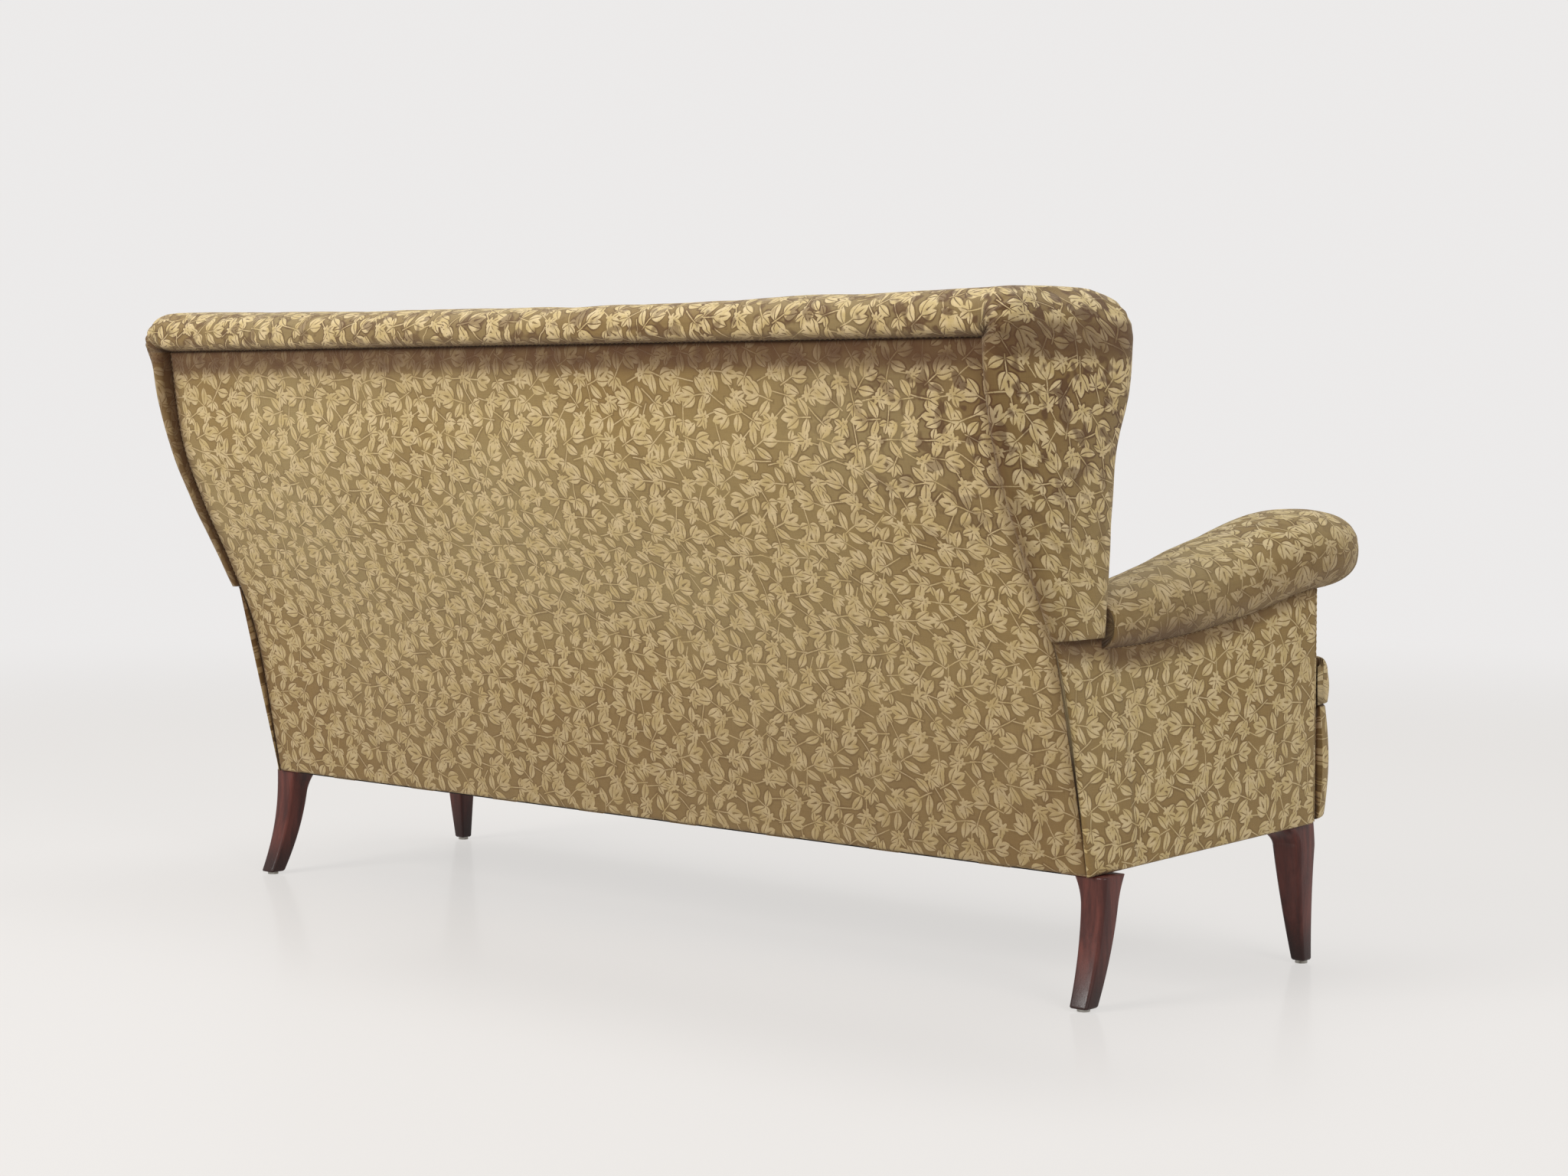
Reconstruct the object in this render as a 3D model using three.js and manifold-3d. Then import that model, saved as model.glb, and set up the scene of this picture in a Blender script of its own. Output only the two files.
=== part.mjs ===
// A three-seat upholstered sofa: a raked, curved back with a padded roll along its top and ends,
// flared arms whose rolls grow towards the front, a sprung T-shaped seat and four dark legs.
// Millimetres. X runs along the sofa, the front faces -Y and Z is up.

import * as THREE from "three";
import { mergeVertices } from "three/addons/utils/BufferGeometryUtils.js";
import Module from "manifold-3d";

const wasm = await Module();
wasm.setup();

// Clearances
const gap = 0.3; // between pieces that touch
const overrun = 5; // how far a cutting tool runs past the face it opens
const weldTolerance = 0.001;
const levelClearance = 1; // least height between two levels of a curved outline
const facingMatch = 0.9999; // cosine above which two faces count as facing alike
const solveDamping = 0.001;
const cornerLimit = 3; // times its margin, the furthest that a swollen corner moves

// Stance: the feet, measured from the middle of the four
const rearFootOutset = 4.5; // outside the back's edge
const frontFootInset = 32; // inside the arm's outer front edge
const footHalfDepth = 227.5;
const rearLegHeight = 167.5;
const frontLegHeight = 196;

// Legs
const rearLegKick = 37; // the foot stands this far behind the leg's top
const rearLegSplay = 4.5;
const rearLegTop = 38;
const rearLegFoot = 27;
const frontLegKick = 12.5;
const frontLegSplay = 7;
const frontLegTop = 71; // the bracket widens the leg inwards and rearwards
const frontLegShank = 45;
const frontLegFoot = 21;
const bracketHeight = 34;
const legChamferShare = 0.16;
const legCurve = 1.7; // above 1 the leg bends towards its foot
const glideRadius = 8.5;
const glideThickness = 4;
const roundSides = 12;
const boltRadius = 4;
const boltReach = 32; // into the leg, and as far into the post
const frontBoltSetback = 17; // behind the middle of the front leg's top
const rearBoltInset = 9; // inside the middle of the rear leg's top

// Outside back: a curved line from the hem up to the seam under the top roll
const backHalfWidth = 800;
const backHeight = 900;
const topRollHeight = 55;
const backHemHeight = 168.5;
const backSeamHeight = backHeight - topRollHeight;
const backHemY = 216;
const backLean = 208;
const backCrown = 5;
const backLineShares = [
  [0, 0],
  [0.33, 0.22],
  [0.5, 0.455],
  [0.65, 0.71],
  [0.8, 0.905],
  [1, 1],
];
const panelThickness = 6;

// Roll along the top and down both ends of the back
const backTopDip = 10;
const rollOverhang = 26;
const endWidth = 70;
const endFootHeight = 472;
const endWidthShares = [
  [0, 0.26],
  [0.3, 0.44],
  [0.6, 0.6],
  [0.82, 0.9],
  [1, 1],
];
// The rear edge's rounding as a share of the front's, from the foot to the corner: the ends flare forwards.
const endRearShares = [
  [0, 0.6],
  [0.3, 0.42],
  [0.85, 0.3],
  [1, 0.45],
];
const endInnerRadius = 2;
const cornerPower = 0.8; // below 1 the corner is fuller than an ellipse
const rollCrown = 4;

// Inside back
const insideBackFootHeight = 372;
const insideSeatY = 178;
const insideTopY = 272;
const insideBackLeast = 12; // its least thickness, low down at the ends
const lumbarCrown = 14;
const wingY = 205;
const wingLip = 5; // the roll stands this far in front of the inside back
const wingStart = 470;
const wingEnd = 700;

// Arms, measured at the outer panel's front edge and at the back
const armFrontY = -206;
const armRearOutset = 6; // outside the back's edge
const armRearInset = 65; // inside the back's edge
const armOuterFlare = 72; // from the rear to the front
const armInnerFlare = 22;
const armPanelCrown = 7;
const armForwardShare = 1.2; // how far past its front edge the arm's lines are carried
const insideArmThickness = 40;
const insideArmCrown = 8;
const insideArmFoot = 346;
const facingFrontY = -230;
const facingThickness = 13.4;
const facingCornerRadius = 34;

// Arm rolls
const armRollFrontY = -292;
const armRollRearInnerLip = 13; // how far the roll stands out past the arm's faces
const armRollRearOuterLip = 22;
const armRollFrontInnerLip = 15;
const armRollFrontOuterLip = 38;
const armRollRearTop = 518;
const armRollRearUnder = 452;
const armRollFrontTop = 621;
const armRollFrontUnder = 512;
const armRollUnderPower = 2; // above 1 the underside stays low at the back and then rises
const armRollCrestShare = 0.78; // of the roll's length, where it stops rising
const armRollNoseShare = 0.82; // of the roll's length, where its rounded end starts
const armRollTipShare = 0.3; // of the full section, at the very front
const rollSquareness = 2.5; // 2 is an ellipse, more is squarer

// Seat frame, in its own tilted plane
const railLift = 2; // the rails' underside above the legs' tops
const railHeight = 85;
const frontRailThickness = 31.7;
const frontRailEndCover = 22; // padding past each end of the rail
const rearRailThickness = 40;
const rearRailRearY = 208;
const sideRailThickness = 26;
const stretcherWidth = 44;
const stretcherHeight = 30;
const stretcherLift = 6;
const cornerBlockSize = 50;
const cornerBlockHeight = 55;
const cornerBlockLift = 15;

// Posts and rails of the back and arms
const backPostWidth = 44;
const uprightDepth = 55;
const stileWidth = 30;
const stileHalfSpan = 270;
const uprightLap = 6; // how far a rail is let past the face of the upright that stops it
const topRailHeight = 45;
const backTackHeight = 40;
const backTackDepth = 22;
const backTackLift = 23; // above the inside back's foot
const armPostWidth = 70;
const armPostDepth = 50;
const armPostHeadroom = 4; // between the post and the rail's middle stretch
const armRailWidth = 50;
const armRailThickness = 22;
const armRailDrop = 6; // below the middle of the roll
const armTackHeight = 36;
const armTackThickness = 22;
const armTackCentre = 326;

// Webbing, springs and hessian
const strapWidth = 50;
const strapThickness = 2;
const seatWebbingInset = 83.5; // inside the back posts
const seatStrapCount = 8;
const seatCrossStrapPitch = 110;
const seatCrossStrapCount = 3;
const backWebbingInset = 48.2; // inside the ends of the back's rails
const backStrapCount = 8;
const backCrossStrapCount = 4;
const springHeight = 154;
const springEndRadius = 44;
const springWaistRadius = 28;
const springWireRadius = 2.2;
const springTurns = 3;
const springTurnSteps = 6;
const springWireSides = 3;
const springUnitInset = 112; // inside the back posts
const springColumnCount = 6;
const springRowPitch = 120;
const springRowCount = 3;
const springMiddleY = -30;
const hessianInset = 8; // inside the back posts
const hessianFrontY = -229;
const hessianRearY = 176;
const hessianThickness = 1.5;
const hessianClearance = 3; // above the springs
const dustCoverInset = 10; // inside the side rails' outer faces
const dustCoverRearY = 200;
const dustCoverThickness = 1.4;

// Seat
const seatFrontY = -272;
const seatCornerRadius = 35;
const seatEarInset = 4; // inside the arms' outer front edges
const seatThickness = 62;
const seatCrown = 16;
const seatEdgeRadius = 22;
const seatCrownPower = 4; // more keeps the seat full nearer to its ends
const seatCornerShare = 0.98; // of the corner's turn, which the end sections stop short of
const seatRearY = 180;
const seatSideTuck = 8; // under the inside arms
const borderHeightAboveRail = 72;
const borderCrown = 5;

// Facets
const profileSteps = 12;
const acrossSteps = 14;
const rollSteps = 6; // round each end of a roll's section
const cornerSteps = 5;
const legSteps = 8;
const seatSteps = 8;
const insideBackSteps = 20;
const armSteps = 8;
const armRollSides = 18;
const armPanelSteps = 5;
const backLineSteps = 15;

const finishes = {
  beech: { color: 0xc9a878, roughness: 0.6, metalness: 0 },
  mahogany: { color: 0x52302a, roughness: 0.35, metalness: 0 },
  fabric: { color: 0xaa976e, roughness: 0.95, metalness: 0 },
  hessian: { color: 0xb49a6b, roughness: 1, metalness: 0 },
  webbing: { color: 0x8d7a58, roughness: 1, metalness: 0 },
  cambric: { color: 0x2b2926, roughness: 1, metalness: 0 },
  steel: { color: 0x9b9a96, roughness: 0.4, metalness: 1 },
};

const mix = THREE.MathUtils.lerp;
const clamp = THREE.MathUtils.clamp;
const smooth = THREE.MathUtils.smoothstep;

// Even steps from one value to another, both ends included.
function steps(from, to, count) {
  return Array.from({ length: count + 1 }, (_, i) => mix(from, to, i / count));
}

// A value read from a table of [position, value] shares.
function readShares(table, position) {
  const last = table.length - 2;
  const found = table.findIndex((row, i) => i > 0 && position <= row[0]);
  const i = found < 0 ? last : found - 1;
  const [p0, v0] = table[i];
  const [p1, v1] = table[i + 1];
  return mix(v0, v1, clamp((position - p0) / (p1 - p0), 0, 1));
}

// Solids and cuts

function solidOf(geometry) {
  const bare = geometry.clone();
  bare.deleteAttribute("normal");
  bare.deleteAttribute("uv");
  const merged = mergeVertices(bare, weldTolerance);
  return new wasm.Manifold(
    new wasm.Mesh({
      numProp: 3,
      vertProperties: merged.attributes.position.array,
      triVerts: new Uint32Array(merged.index.array),
    }),
  );
}

function geometryOf(solid) {
  const { vertProperties, triVerts } = solid.getMesh();
  const geometry = new THREE.BufferGeometry();
  geometry.setAttribute("position", new THREE.BufferAttribute(new Float32Array(vertProperties), 3));
  geometry.setIndex(new THREE.BufferAttribute(new Uint32Array(triVerts), 1));
  geometry.computeVertexNormals();
  return geometry;
}

function signedVolume(points, index) {
  const corner = new THREE.Vector3();
  let volume = 0;
  for (let i = 0; i < index.length; i += 3) {
    corner.crossVectors(points[index[i + 1]], points[index[i + 2]]);
    volume += points[index[i]].dot(corner);
  }
  return volume;
}

// The triangles that fill a flat ring, wound the same way as the ring.
function fillRing(ring) {
  const normal = new THREE.Vector3();
  ring.forEach((point, i) => {
    normal.add(new THREE.Vector3().crossVectors(point, ring[(i + 1) % ring.length]));
  });
  const size = normal.toArray().map(Math.abs);
  const flat = size.indexOf(Math.max(...size));
  const turned = normal.getComponent(flat) < 0;
  const contour = ring.map((point) => {
    const seen = new THREE.Vector2(
      point.getComponent((flat + 1) % 3),
      point.getComponent((flat + 2) % 3),
    );
    return turned ? new THREE.Vector2(seen.y, seen.x) : seen;
  });
  return THREE.ShapeUtils.triangulateShape(contour, []).map(([a, b, c]) => {
    const edge = contour[b].clone().sub(contour[a]);
    return edge.cross(contour[c].clone().sub(contour[a])) < 0 ? [a, c, b] : [a, b, c];
  });
}

// A closed skin over a row of flat rings that all run the same way round.
function loft(rings) {
  const count = rings[0].length;
  const points = rings.flat();
  const index = [];
  for (let r = 0; r + 1 < rings.length; r += 1) {
    for (let k = 0; k < count; k += 1) {
      const a = r * count + k;
      const b = r * count + ((k + 1) % count);
      index.push(a, b, b + count, a, b + count, a + count);
    }
  }
  const lastRing = (rings.length - 1) * count;
  fillRing(rings[0]).forEach(([a, b, c]) => index.push(a, c, b));
  fillRing(rings.at(-1)).forEach((face) => index.push(...face.map((k) => k + lastRing)));
  if (signedVolume(points, index) < 0) index.reverse();
  const geometry = new THREE.BufferGeometry().setFromPoints(points);
  geometry.setIndex(index);
  return geometry;
}

function box(x0, x1, y0, y1, z0, z1) {
  const geometry = new THREE.BoxGeometry(x1 - x0, y1 - y0, z1 - z0);
  return geometry.translate((x0 + x1) / 2, (y0 + y1) / 2, (z0 + z1) / 2);
}

// A straight rail of rectangular section between two points.
function bar(from, to, width, height) {
  const along = to.clone().sub(from);
  const length = along.length();
  along.normalize();
  const across = new THREE.Vector3(0, 0, 1).cross(along).negate().normalize();
  const up = new THREE.Vector3().crossVectors(across, along);
  const matrix = new THREE.Matrix4().makeBasis(across, along, up);
  matrix.setPosition(from.clone().add(to).multiplyScalar(0.5));
  return new THREE.BoxGeometry(width, length, height).applyMatrix4(matrix);
}

// A flat [y, z] outline, sawn to a thickness along X.
function sawn(outline, x0, x1) {
  return loft([x0, x1].map((x) => outline.map(([y, z]) => new THREE.Vector3(x, y, z))));
}

// The solid swollen by a margin: each corner moves out until it clears all its faces by that much.
function grown(solid, margin) {
  const { vertProperties, triVerts } = solid.getMesh();
  const vertices = [];
  for (let i = 0; i < vertProperties.length; i += 3) {
    vertices.push({ at: new THREE.Vector3().fromArray(vertProperties, i), normals: [] });
  }
  const triangle = new THREE.Triangle();
  for (let i = 0; i < triVerts.length; i += 3) {
    const corners = [...triVerts.subarray(i, i + 3)].map((k) => vertices[k]);
    triangle.set(...corners.map((corner) => corner.at));
    const normal = triangle.getNormal(new THREE.Vector3());
    corners.forEach(({ normals }) => {
      if (normals.every((known) => known.dot(normal) < facingMatch)) normals.push(normal);
    });
  }
  const moved = new Float32Array(vertProperties.length);
  vertices.forEach(({ at, normals }, k) => {
    const sum = new THREE.Vector3();
    const system = new THREE.Matrix3().multiplyScalar(solveDamping);
    normals.forEach((normal) => {
      sum.add(normal);
      const parts = normal.toArray();
      parts.forEach((part, row) => {
        parts.forEach((other, column) => {
          system.elements[3 * column + row] += part * other;
        });
      });
    });
    const step = sum.applyMatrix3(system.invert());
    step.multiplyScalar(margin).clampLength(0, cornerLimit * margin);
    at.clone().add(step).toArray(moved, 3 * k);
  });
  return new wasm.Manifold(new wasm.Mesh({ numProp: 3, vertProperties: moved, triVerts }));
}

// A solid cut back so that it clears the others by the usual gap.
function cut(solid, ...others) {
  return others.reduce((left, other) => left.subtract(grown(other, gap)), solid);
}

function joined(solids) {
  return solids.reduce((all, solid) => all.add(solid));
}

// The scene graph

const sofa = new THREE.Group();

function addGroup() {
  const group = new THREE.Group();
  sofa.add(group);
  return group;
}

function addPiece(group, name, solid, finish, at = new THREE.Vector3()) {
  const mesh = new THREE.Mesh(geometryOf(solid), new THREE.MeshStandardMaterial(finishes[finish]));
  mesh.name = name;
  mesh.position.copy(at);
  group.add(mesh);
}

const legsGroup = addGroup();
const frameGroup = addGroup();
const suspensionGroup = addGroup();
const coverGroup = addGroup();

const hands = [
  { hand: "left", side: 1 },
  { hand: "right", side: -1 },
];

// Lines that several pieces share

const armRearOuterX = backHalfWidth + armRearOutset;
const armRearInnerX = backHalfWidth - armRearInset;
const armFrontOuterX = armRearOuterX + armOuterFlare;
const armFrontInnerX = armRearInnerX + armInnerFlare;
const armRollRearInnerX = armRearInnerX - armRollRearInnerLip;
const armRollRearOuterX = armRearOuterX + armRollRearOuterLip;
const armRollFrontInnerX = armFrontInnerX - armRollFrontInnerLip;
const armRollFrontOuterX = armFrontOuterX + armRollFrontOuterLip;

const rearFootHalfSpan = backHalfWidth + rearFootOutset;
const frontFootHalfSpan = armFrontOuterX - frontFootInset;
const rearLegTopX = rearFootHalfSpan - rearLegSplay;
const rearLegTopY = footHalfDepth - rearLegKick;
const frontLegTopX = frontFootHalfSpan - frontLegSplay;
const frontLegTopY = frontLegKick - footHalfDepth;

// The seat frame's edges slope down to the back, because the front legs are longer. Its faces stay upright.
const seatSlope = (frontLegHeight - rearLegHeight) / (rearLegTopY - frontLegTopY);
const railUnderAt = (y) => frontLegHeight + railLift + (frontLegTopY - y) * seatSlope;
const seatPlane = new THREE.Matrix4().makeShear(0, 0, 0, -seatSlope, 0, 0);
seatPlane.setPosition(0, 0, railUnderAt(0));

const onSeatPlane = (solid) => solid.transform(seatPlane.toArray());
const seatSolid = (geometry) => onSeatPlane(solidOf(geometry));

// The outside back's line, from the hem to the seam, as a spline through its shares.
const backLine = new THREE.SplineCurve(
  backLineShares.map(
    ([rise, back]) =>
      new THREE.Vector2(
        backHemY + back * backLean,
        mix(backHemHeight, backSeamHeight, rise),
      ),
  ),
);
const backLinePoints = backLine.getPoints(backLineSteps);

function rearAt(z) {
  const found = backLinePoints.findIndex((point) => point.y >= z);
  if (found === 0) return backHemY;
  if (found < 0) return backHemY + backLean;
  const low = backLinePoints[found - 1];
  const high = backLinePoints[found];
  return mix(low.x, high.x, (z - low.y) / (high.y - low.y));
}

// Heights from one level to another that share the line's own points, so curved pieces lie flush.
function levels(z0, z1) {
  const between = backLinePoints
    .map((point) => point.y)
    .filter((z) => z > z0 + levelClearance && z < z1 - levelClearance);
  return [z0, ...between, z1];
}

const uprightRearAt = (z) => rearAt(z) - panelThickness - gap;
const uprightFrontAt = (z) => uprightRearAt(z) - uprightDepth;
const webbingFrontAt = (z) => uprightFrontAt(z) - gap - strapThickness;

// The inside back's face: raked in the middle, and upright at the ends, which stand forward as wings.
function insideBackAt(x, z) {
  const rise = (z - insideBackFootHeight) / (backSeamHeight - insideBackFootHeight);
  const raked = mix(insideSeatY, insideTopY, clamp(rise, 0, 1));
  const crowned = raked - lumbarCrown * Math.sin(Math.PI * clamp(rise, 0, 1));
  return mix(crowned, wingY, smooth(Math.abs(x), wingStart, wingEnd));
}

const armShareAt = (y) => clamp((backHemY - y) / (backHemY - armFrontY), 0, armForwardShare);
const armOuterAt = (y) => mix(armRearOuterX, armFrontOuterX, armShareAt(y));
const armInnerAt = (y) => mix(armRearInnerX, armFrontInnerX, armShareAt(y));

// An arm roll's middle line and half sizes at a share of its length from the back.
const armRollRearY = wingY - wingLip - gap;
function armRollAt(share) {
  const rise = Math.min(1, share / armRollCrestShare);
  const top = mix(armRollRearTop, armRollFrontTop, rise);
  const under = mix(armRollRearUnder, armRollFrontUnder, rise ** armRollUnderPower);
  const spread = Math.min(1, share / armRollNoseShare);
  const inner = mix(armRollRearInnerX, armRollFrontInnerX, spread);
  const outer = mix(armRollRearOuterX, armRollFrontOuterX, spread);
  return {
    x: (inner + outer) / 2,
    y: mix(armRollRearY, armRollFrontY, share),
    z: (top + under) / 2,
    halfWidth: (outer - inner) / 2,
    halfHeight: (top - under) / 2,
  };
}
const armRollShareAt = (y) => clamp((armRollRearY - y) / (armRollRearY - armRollFrontY), 0, 1);
const armRollCentreAt = (y) => armRollAt(armRollShareAt(y)).z;

const seatEarHalfWidth = armFrontOuterX - seatEarInset;
const seatSideReach = armFrontInnerX + seatSideTuck;
const armPostFrontY = facingFrontY + facingThickness + gap;
const armPostRearY = armPostFrontY + armPostDepth;
const armPostOuterX = armOuterAt(armPostRearY) - panelThickness - gap;
const armPostInnerX = armPostOuterX - armPostWidth;
const frontRailRearY = armPostFrontY - gap;
const frontRailFrontY = frontRailRearY - frontRailThickness;
const backPostInnerX = backHalfWidth - backPostWidth;
const backTackFoot = insideBackFootHeight + backTackLift;

// Legs, with a bolt up into the post and a glide under the foot

function squareRing(size, x, y, z) {
  const half = size / 2;
  const inset = half - size * legChamferShare;
  const quarter = [
    [half, inset],
    [inset, half],
  ];
  const ring = [];
  for (let turn = 0; turn < 4; turn += 1) {
    quarter.forEach(([u, v]) => {
      const point = new THREE.Vector3(u, v, 0);
      point.applyAxisAngle(new THREE.Vector3(0, 0, 1), (turn * Math.PI) / 2);
      ring.push(point.add(new THREE.Vector3(x, y, z)));
    });
  }
  return ring;
}

function roundBar(radius, z0, z1) {
  const geometry = new THREE.CylinderGeometry(radius, radius, z1 - z0, roundSides);
  return geometry.rotateX(Math.PI / 2).translate(0, 0, (z0 + z1) / 2);
}

const mirrored = (point, side) => new THREE.Vector3(side * point.x, point.y, point.z);

// A leg stands with its foot at its own origin; top is how far its top has moved from there.
// A bracket widens it towards the middle of the sofa, and slopes with the rails.
function leg(height, top, sizeAt, bracketAt) {
  const bottom = glideThickness + gap;
  const rings = steps(0, 1, legSteps).map((share) => {
    const lean = 1 - (1 - share) ** legCurve;
    const bracket = bracketAt(share);
    const size = sizeAt(share) + bracket;
    const x = top.x * lean + (Math.sign(top.x) * bracket) / 2;
    const y = top.y * lean + (Math.sign(top.y) * bracket) / 2;
    return squareRing(size, x, y, mix(bottom, height, share)).map((point) => {
      point.z -= ((point.y - top.y) * seatSlope * bracket) / (frontLegTop - frontLegShank);
      return point;
    });
  });
  return solidOf(loft(rings));
}

const rearLegSize = (share) => mix(rearLegFoot, rearLegTop, share);

// The front leg tapers evenly up to its bracket.
const bracketStart = 1 - bracketHeight / frontLegHeight;
const frontLegSize = (share) => mix(frontLegFoot, frontLegShank, Math.min(1, share / bracketStart));
const frontBracket = (share) => {
  const flare = Math.max(0, (share - bracketStart) / (1 - bracketStart));
  return (frontLegTop - frontLegShank) * flare ** 2;
};

const legKinds = [
  {
    place: "rear",
    height: rearLegHeight,
    foot: new THREE.Vector3(rearFootHalfSpan, footHalfDepth, 0),
    top: new THREE.Vector3(-rearLegSplay, -rearLegKick, 0),
    bolt: new THREE.Vector3(rearLegTopX - rearBoltInset, rearLegTopY, 0),
    size: rearLegSize,
    bracket: () => 0,
  },
  {
    place: "front",
    height: frontLegHeight,
    foot: new THREE.Vector3(frontFootHalfSpan, -footHalfDepth, 0),
    top: new THREE.Vector3(-frontLegSplay, frontLegKick, 0),
    bolt: new THREE.Vector3(frontLegTopX, frontLegTopY + frontBoltSetback, 0),
    size: frontLegSize,
    bracket: frontBracket,
  },
];

const boltHoles = [];
const standingLegs = [];
for (const { hand, side } of hands) {
  for (const { place, height, foot, top, bolt, size, bracket } of legKinds) {
    const footAt = mirrored(foot, side);
    const boltAt = mirrored(bolt, side);
    const hole = roundBar(boltRadius + gap, height - boltReach - gap, height + boltReach + gap);
    const boltHole = solidOf(hole.translate(boltAt.x, boltAt.y, 0));
    boltHoles.push(boltHole);
    const standing = leg(height, mirrored(top, side), size, bracket);
    const drilled = standing.subtract(boltHole.translate([-footAt.x, -footAt.y, 0]));
    addPiece(legsGroup, `${place}_leg_${hand}`, drilled, "mahogany", footAt);
    standingLegs.push(standing.translate(footAt.toArray()));
    const shank = solidOf(roundBar(boltRadius, height - boltReach, height + boltReach));
    addPiece(legsGroup, `${place}_leg_bolt_${hand}`, shank, "steel", boltAt);
    const disc = solidOf(roundBar(glideRadius, 0, glideThickness));
    addPiece(legsGroup, `${place}_glide_${hand}`, disc, "steel", footAt);
  }
}

// Back frame: posts and stiles sawn to the back's curve, and the rails between them

function curvedOutline(z0, z1, frontAt, rearLineAt) {
  const heights = levels(z0, z1);
  const front = heights.map((z) => [frontAt(z), z]);
  const rear = heights.map((z) => [rearLineAt(z), z]);
  return [...rear, ...front.reverse()];
}

const postFoot = rearLegHeight + gap;
const postTop = backSeamHeight - gap;
const postOutline = curvedOutline(postFoot, postTop, uprightFrontAt, uprightRearAt);
const backPosts = hands.map(({ side }) => {
  const x = [side * backPostInnerX, side * backHalfWidth];
  const post = solidOf(sawn(postOutline, Math.min(...x), Math.max(...x)));
  return boltHoles.reduce((left, hole) => left.subtract(hole), post);
});

const railSpan = backPostInnerX - gap;
const topRailFoot = postTop - topRailHeight;
const backTopRail = solidOf(
  sawn(curvedOutline(topRailFoot, postTop, uprightFrontAt, uprightRearAt), -railSpan, railSpan),
);
const backTackRail = solidOf(
  sawn(
    curvedOutline(
      backTackFoot,
      backTackFoot + backTackHeight,
      uprightFrontAt,
      (z) => uprightFrontAt(z) + backTackDepth,
    ),
    -railSpan,
    railSpan,
  ),
);

const rearRail = seatSolid(
  box(-railSpan, railSpan, rearRailRearY - rearRailThickness, rearRailRearY, 0, railHeight),
);
const rearRailTop = railUnderAt(rearRailRearY - rearRailThickness) + railHeight;
const stileOutline = curvedOutline(
  rearRailTop + gap,
  topRailFoot - gap,
  uprightFrontAt,
  uprightRearAt,
);
const backStiles = hands.map(({ side }) => {
  const middle = side * stileHalfSpan;
  const stile = sawn(stileOutline, middle - stileWidth / 2, middle + stileWidth / 2);
  return cut(solidOf(stile), backTackRail);
});

// Arm frame: a post behind the front rail, a sloping arm rail, and a tacking rail above the seat

const armRailAt = (y) => armRollCentreAt(y) - armRailDrop;
const armPostMiddle = (armPostInnerX + armPostOuterX) / 2;

const armRails = hands.map(({ side }, i) => {
  const rearY = uprightFrontAt(armRailAt(armRollRearY)) + uprightLap;
  const rear = new THREE.Vector3(backHalfWidth - backPostWidth / 2, rearY, armRailAt(armRollRearY));
  const front = new THREE.Vector3(armPostMiddle, armPostFrontY, armRailAt(armPostFrontY));
  const rail = bar(mirrored(rear, side), mirrored(front, side), armRailWidth, armRailThickness);
  return cut(solidOf(rail), backPosts[i]);
});

const armPosts = hands.map(({ side }, i) => {
  const x = [side * armPostInnerX, side * armPostOuterX];
  const top = armRailAt(armPostRearY);
  const post = box(
    Math.min(...x),
    Math.max(...x),
    armPostFrontY,
    armPostRearY,
    frontLegHeight + gap,
    top - armRailThickness / 2 - armPostHeadroom,
  );
  return boltHoles.reduce((left, hole) => left.subtract(hole), cut(solidOf(post), armRails[i]));
});

const armTackAt = (y) => armInnerAt(y) + insideArmThickness + gap + armTackThickness / 2;
const armTackRails = hands.map(({ side }, i) => {
  const rearY = uprightFrontAt(armTackCentre) + uprightLap;
  const rear = new THREE.Vector3(armTackAt(rearY), rearY, armTackCentre);
  const front = new THREE.Vector3(armTackAt(armPostRearY), armPostRearY, armTackCentre);
  const rail = bar(mirrored(rear, side), mirrored(front, side), armTackThickness, armTackHeight);
  return cut(solidOf(rail), backPosts[i], armPosts[i]);
});

// Seat frame

const frontRailHalfLength = seatEarHalfWidth - frontRailEndCover;
const frontRail = seatSolid(
  box(-frontRailHalfLength, frontRailHalfLength, frontRailFrontY, frontRailRearY, 0, railHeight),
);
// The side rails follow the arms' flare, which widens their section along X.
const sideRailReach = Math.hypot(1, armOuterFlare / (backHemY - armFrontY)) * sideRailThickness;
const sideRailAt = (y) => armOuterAt(y) - panelThickness - gap - sideRailReach / 2;
const sideRails = hands.map(({ side }, i) => {
  const rearY = uprightFrontAt(postFoot) + uprightLap;
  const from = new THREE.Vector3(sideRailAt(rearY), rearY, railHeight / 2);
  const to = new THREE.Vector3(sideRailAt(armPostRearY), armPostRearY, railHeight / 2);
  const rail = bar(mirrored(from, side), mirrored(to, side), sideRailThickness, railHeight);
  return cut(seatSolid(rail), backPosts[i], armPosts[i]);
});
const stretcher = seatSolid(
  box(
    -stretcherWidth / 2,
    stretcherWidth / 2,
    frontRailRearY + gap,
    rearRailRearY - rearRailThickness - gap,
    stretcherLift,
    stretcherLift + stretcherHeight,
  ),
);

// A three-cornered block glued into the angle at [x, y]; reach is signed along Y.
function cornerBlock(x, y, side, reach) {
  const outline = new THREE.Shape([
    new THREE.Vector2(side * x, y),
    new THREE.Vector2(side * (x - cornerBlockSize), y),
    new THREE.Vector2(side * x, y + reach),
  ]);
  const block = new THREE.ExtrudeGeometry(outline, {
    depth: cornerBlockHeight,
    bevelEnabled: false,
  });
  return seatSolid(block.translate(0, 0, cornerBlockLift));
}

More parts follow.
